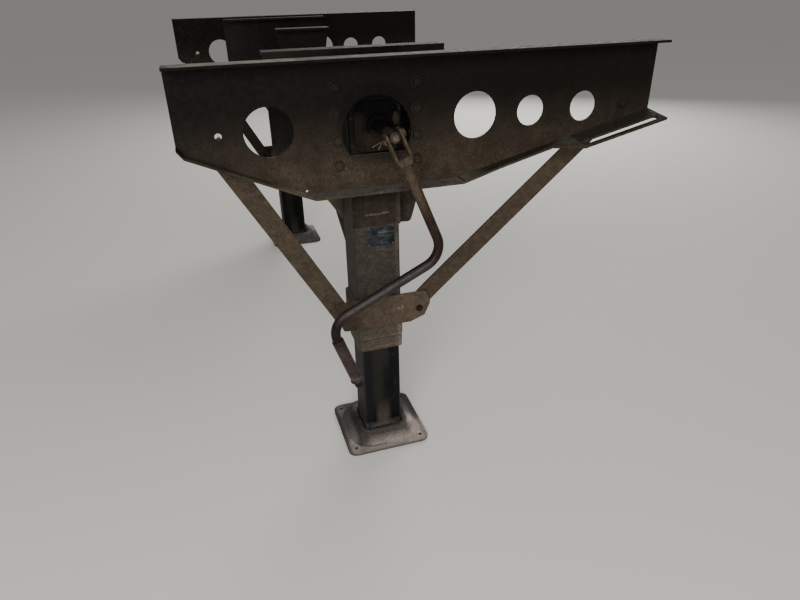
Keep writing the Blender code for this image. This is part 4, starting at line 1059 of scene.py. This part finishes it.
class GEAR_OT_stage(bpy.types.Operator):
    """Plain floor, soft light and the camera"""
    bl_idname = "gear.stage"
    bl_label = "Floor, Light and Camera"

    def execute(self, context):
        stage = context.scene.gear_stage
        look = Look("Floor")
        look.shader.inputs["Base Color"].default_value = opaque(stage.floor_tone)
        look.shader.inputs["Roughness"].default_value = 0.9
        bm = bmesh.new()
        bmesh.ops.create_grid(bm, x_segments=1, y_segments=1, size=stage.floor_size / 2.0)
        mesh = bpy.data.meshes.new("floor")
        bm.to_mesh(mesh)
        bm.free()
        mesh.materials.append(look.material)
        floor = bpy.data.objects.new("floor", mesh)
        floor.location.z = -0.001  # just under the soles
        context.scene.collection.objects.link(floor)

        world = bpy.data.worlds.new("Studio")
        world.use_nodes = True
        background = world.node_tree.nodes["Background"]
        background.inputs["Color"].default_value = opaque(SKY_TINT)
        background.inputs["Strength"].default_value = stage.sky_strength
        context.scene.world = world

        # Each light's place, size and share of the key's power
        for name, place, size, share in (("key", (-1.4, -3.6, 2.3), 3.0, 1.0),
                                         ("rim", (2.6, 4.6, 2.6), 3.5, 0.85)):
            lamp = bpy.data.lights.new(name, "AREA")
            lamp.size = size
            lamp.energy = stage.key_power * share
            lamp.color = LIGHT_TINT
            holder = bpy.data.objects.new(name, lamp)
            aim = Vector(LIT_POINT) - Vector(place)
            holder.location = place
            holder.rotation_euler = aim.to_track_quat("-Z", "Y").to_euler()
            context.scene.collection.objects.link(holder)

        view = bpy.data.cameras.new("photo_view")
        view.sensor_width = 36.0
        view.lens = CAMERA_LENS
        camera = bpy.data.objects.new("photo_view", view)
        heading, dip, roll = CAMERA_TURN
        turn = (Matrix.Rotation(radians(heading), 4, "Z") @ Matrix.Rotation(radians(90.0 - dip), 4, "X")
                @ Matrix.Rotation(radians(roll), 4, "Z"))
        camera.matrix_world = Matrix.Translation(CAMERA_PLACE) @ turn
        context.scene.collection.objects.link(camera)
        context.scene.camera = camera
        return {"FINISHED"}


class GEAR_PT_panel(bpy.types.Panel):
    """Sizes, colours and operators of the landing gear's looks"""
    bl_idname = "GEAR_PT_panel"
    bl_label = "Landing Gear"
    bl_space_type = "VIEW_3D"
    bl_region_type = "UI"
    bl_category = "Landing Gear"

    def draw(self, context):
        for settings in (context.scene.gear_finish, context.scene.gear_detail, context.scene.gear_stage):
            box = self.layout.box()
            for name in settings.__annotations__:
                box.prop(settings, name)
        for kind in OPERATORS:
            self.layout.operator(kind.bl_idname)


SETTINGS = (FinishSettings, DetailSettings, StageSettings)
OPERATORS = (GEAR_OT_stage, GEAR_OT_plates, GEAR_OT_heads, GEAR_OT_bracing, GEAR_OT_bolts, GEAR_OT_welds,
             GEAR_OT_labels, GEAR_OT_legs, GEAR_OT_shafts, GEAR_OT_crank)


def register():
    for kind in SETTINGS + OPERATORS + (GEAR_PT_panel,):
        bpy.utils.register_class(kind)
    bpy.types.Scene.gear_finish = PointerProperty(type=FinishSettings)
    bpy.types.Scene.gear_detail = PointerProperty(type=DetailSettings)
    bpy.types.Scene.gear_stage = PointerProperty(type=StageSettings)


def unregister():
    del bpy.types.Scene.gear_stage
    del bpy.types.Scene.gear_detail
    del bpy.types.Scene.gear_finish
    for kind in reversed(SETTINGS + OPERATORS + (GEAR_PT_panel,)):
        bpy.utils.unregister_class(kind)


def main():
    register()
    bpy.ops.gear.stage()
    bpy.ops.gear.plates()
    bpy.ops.gear.heads()
    bpy.ops.gear.bracing()
    bpy.ops.gear.bolts()
    bpy.ops.gear.welds()
    bpy.ops.gear.labels()
    bpy.ops.gear.legs()
    bpy.ops.gear.shafts()
    bpy.ops.gear.crank()


if __name__ == "__main__":
    main()
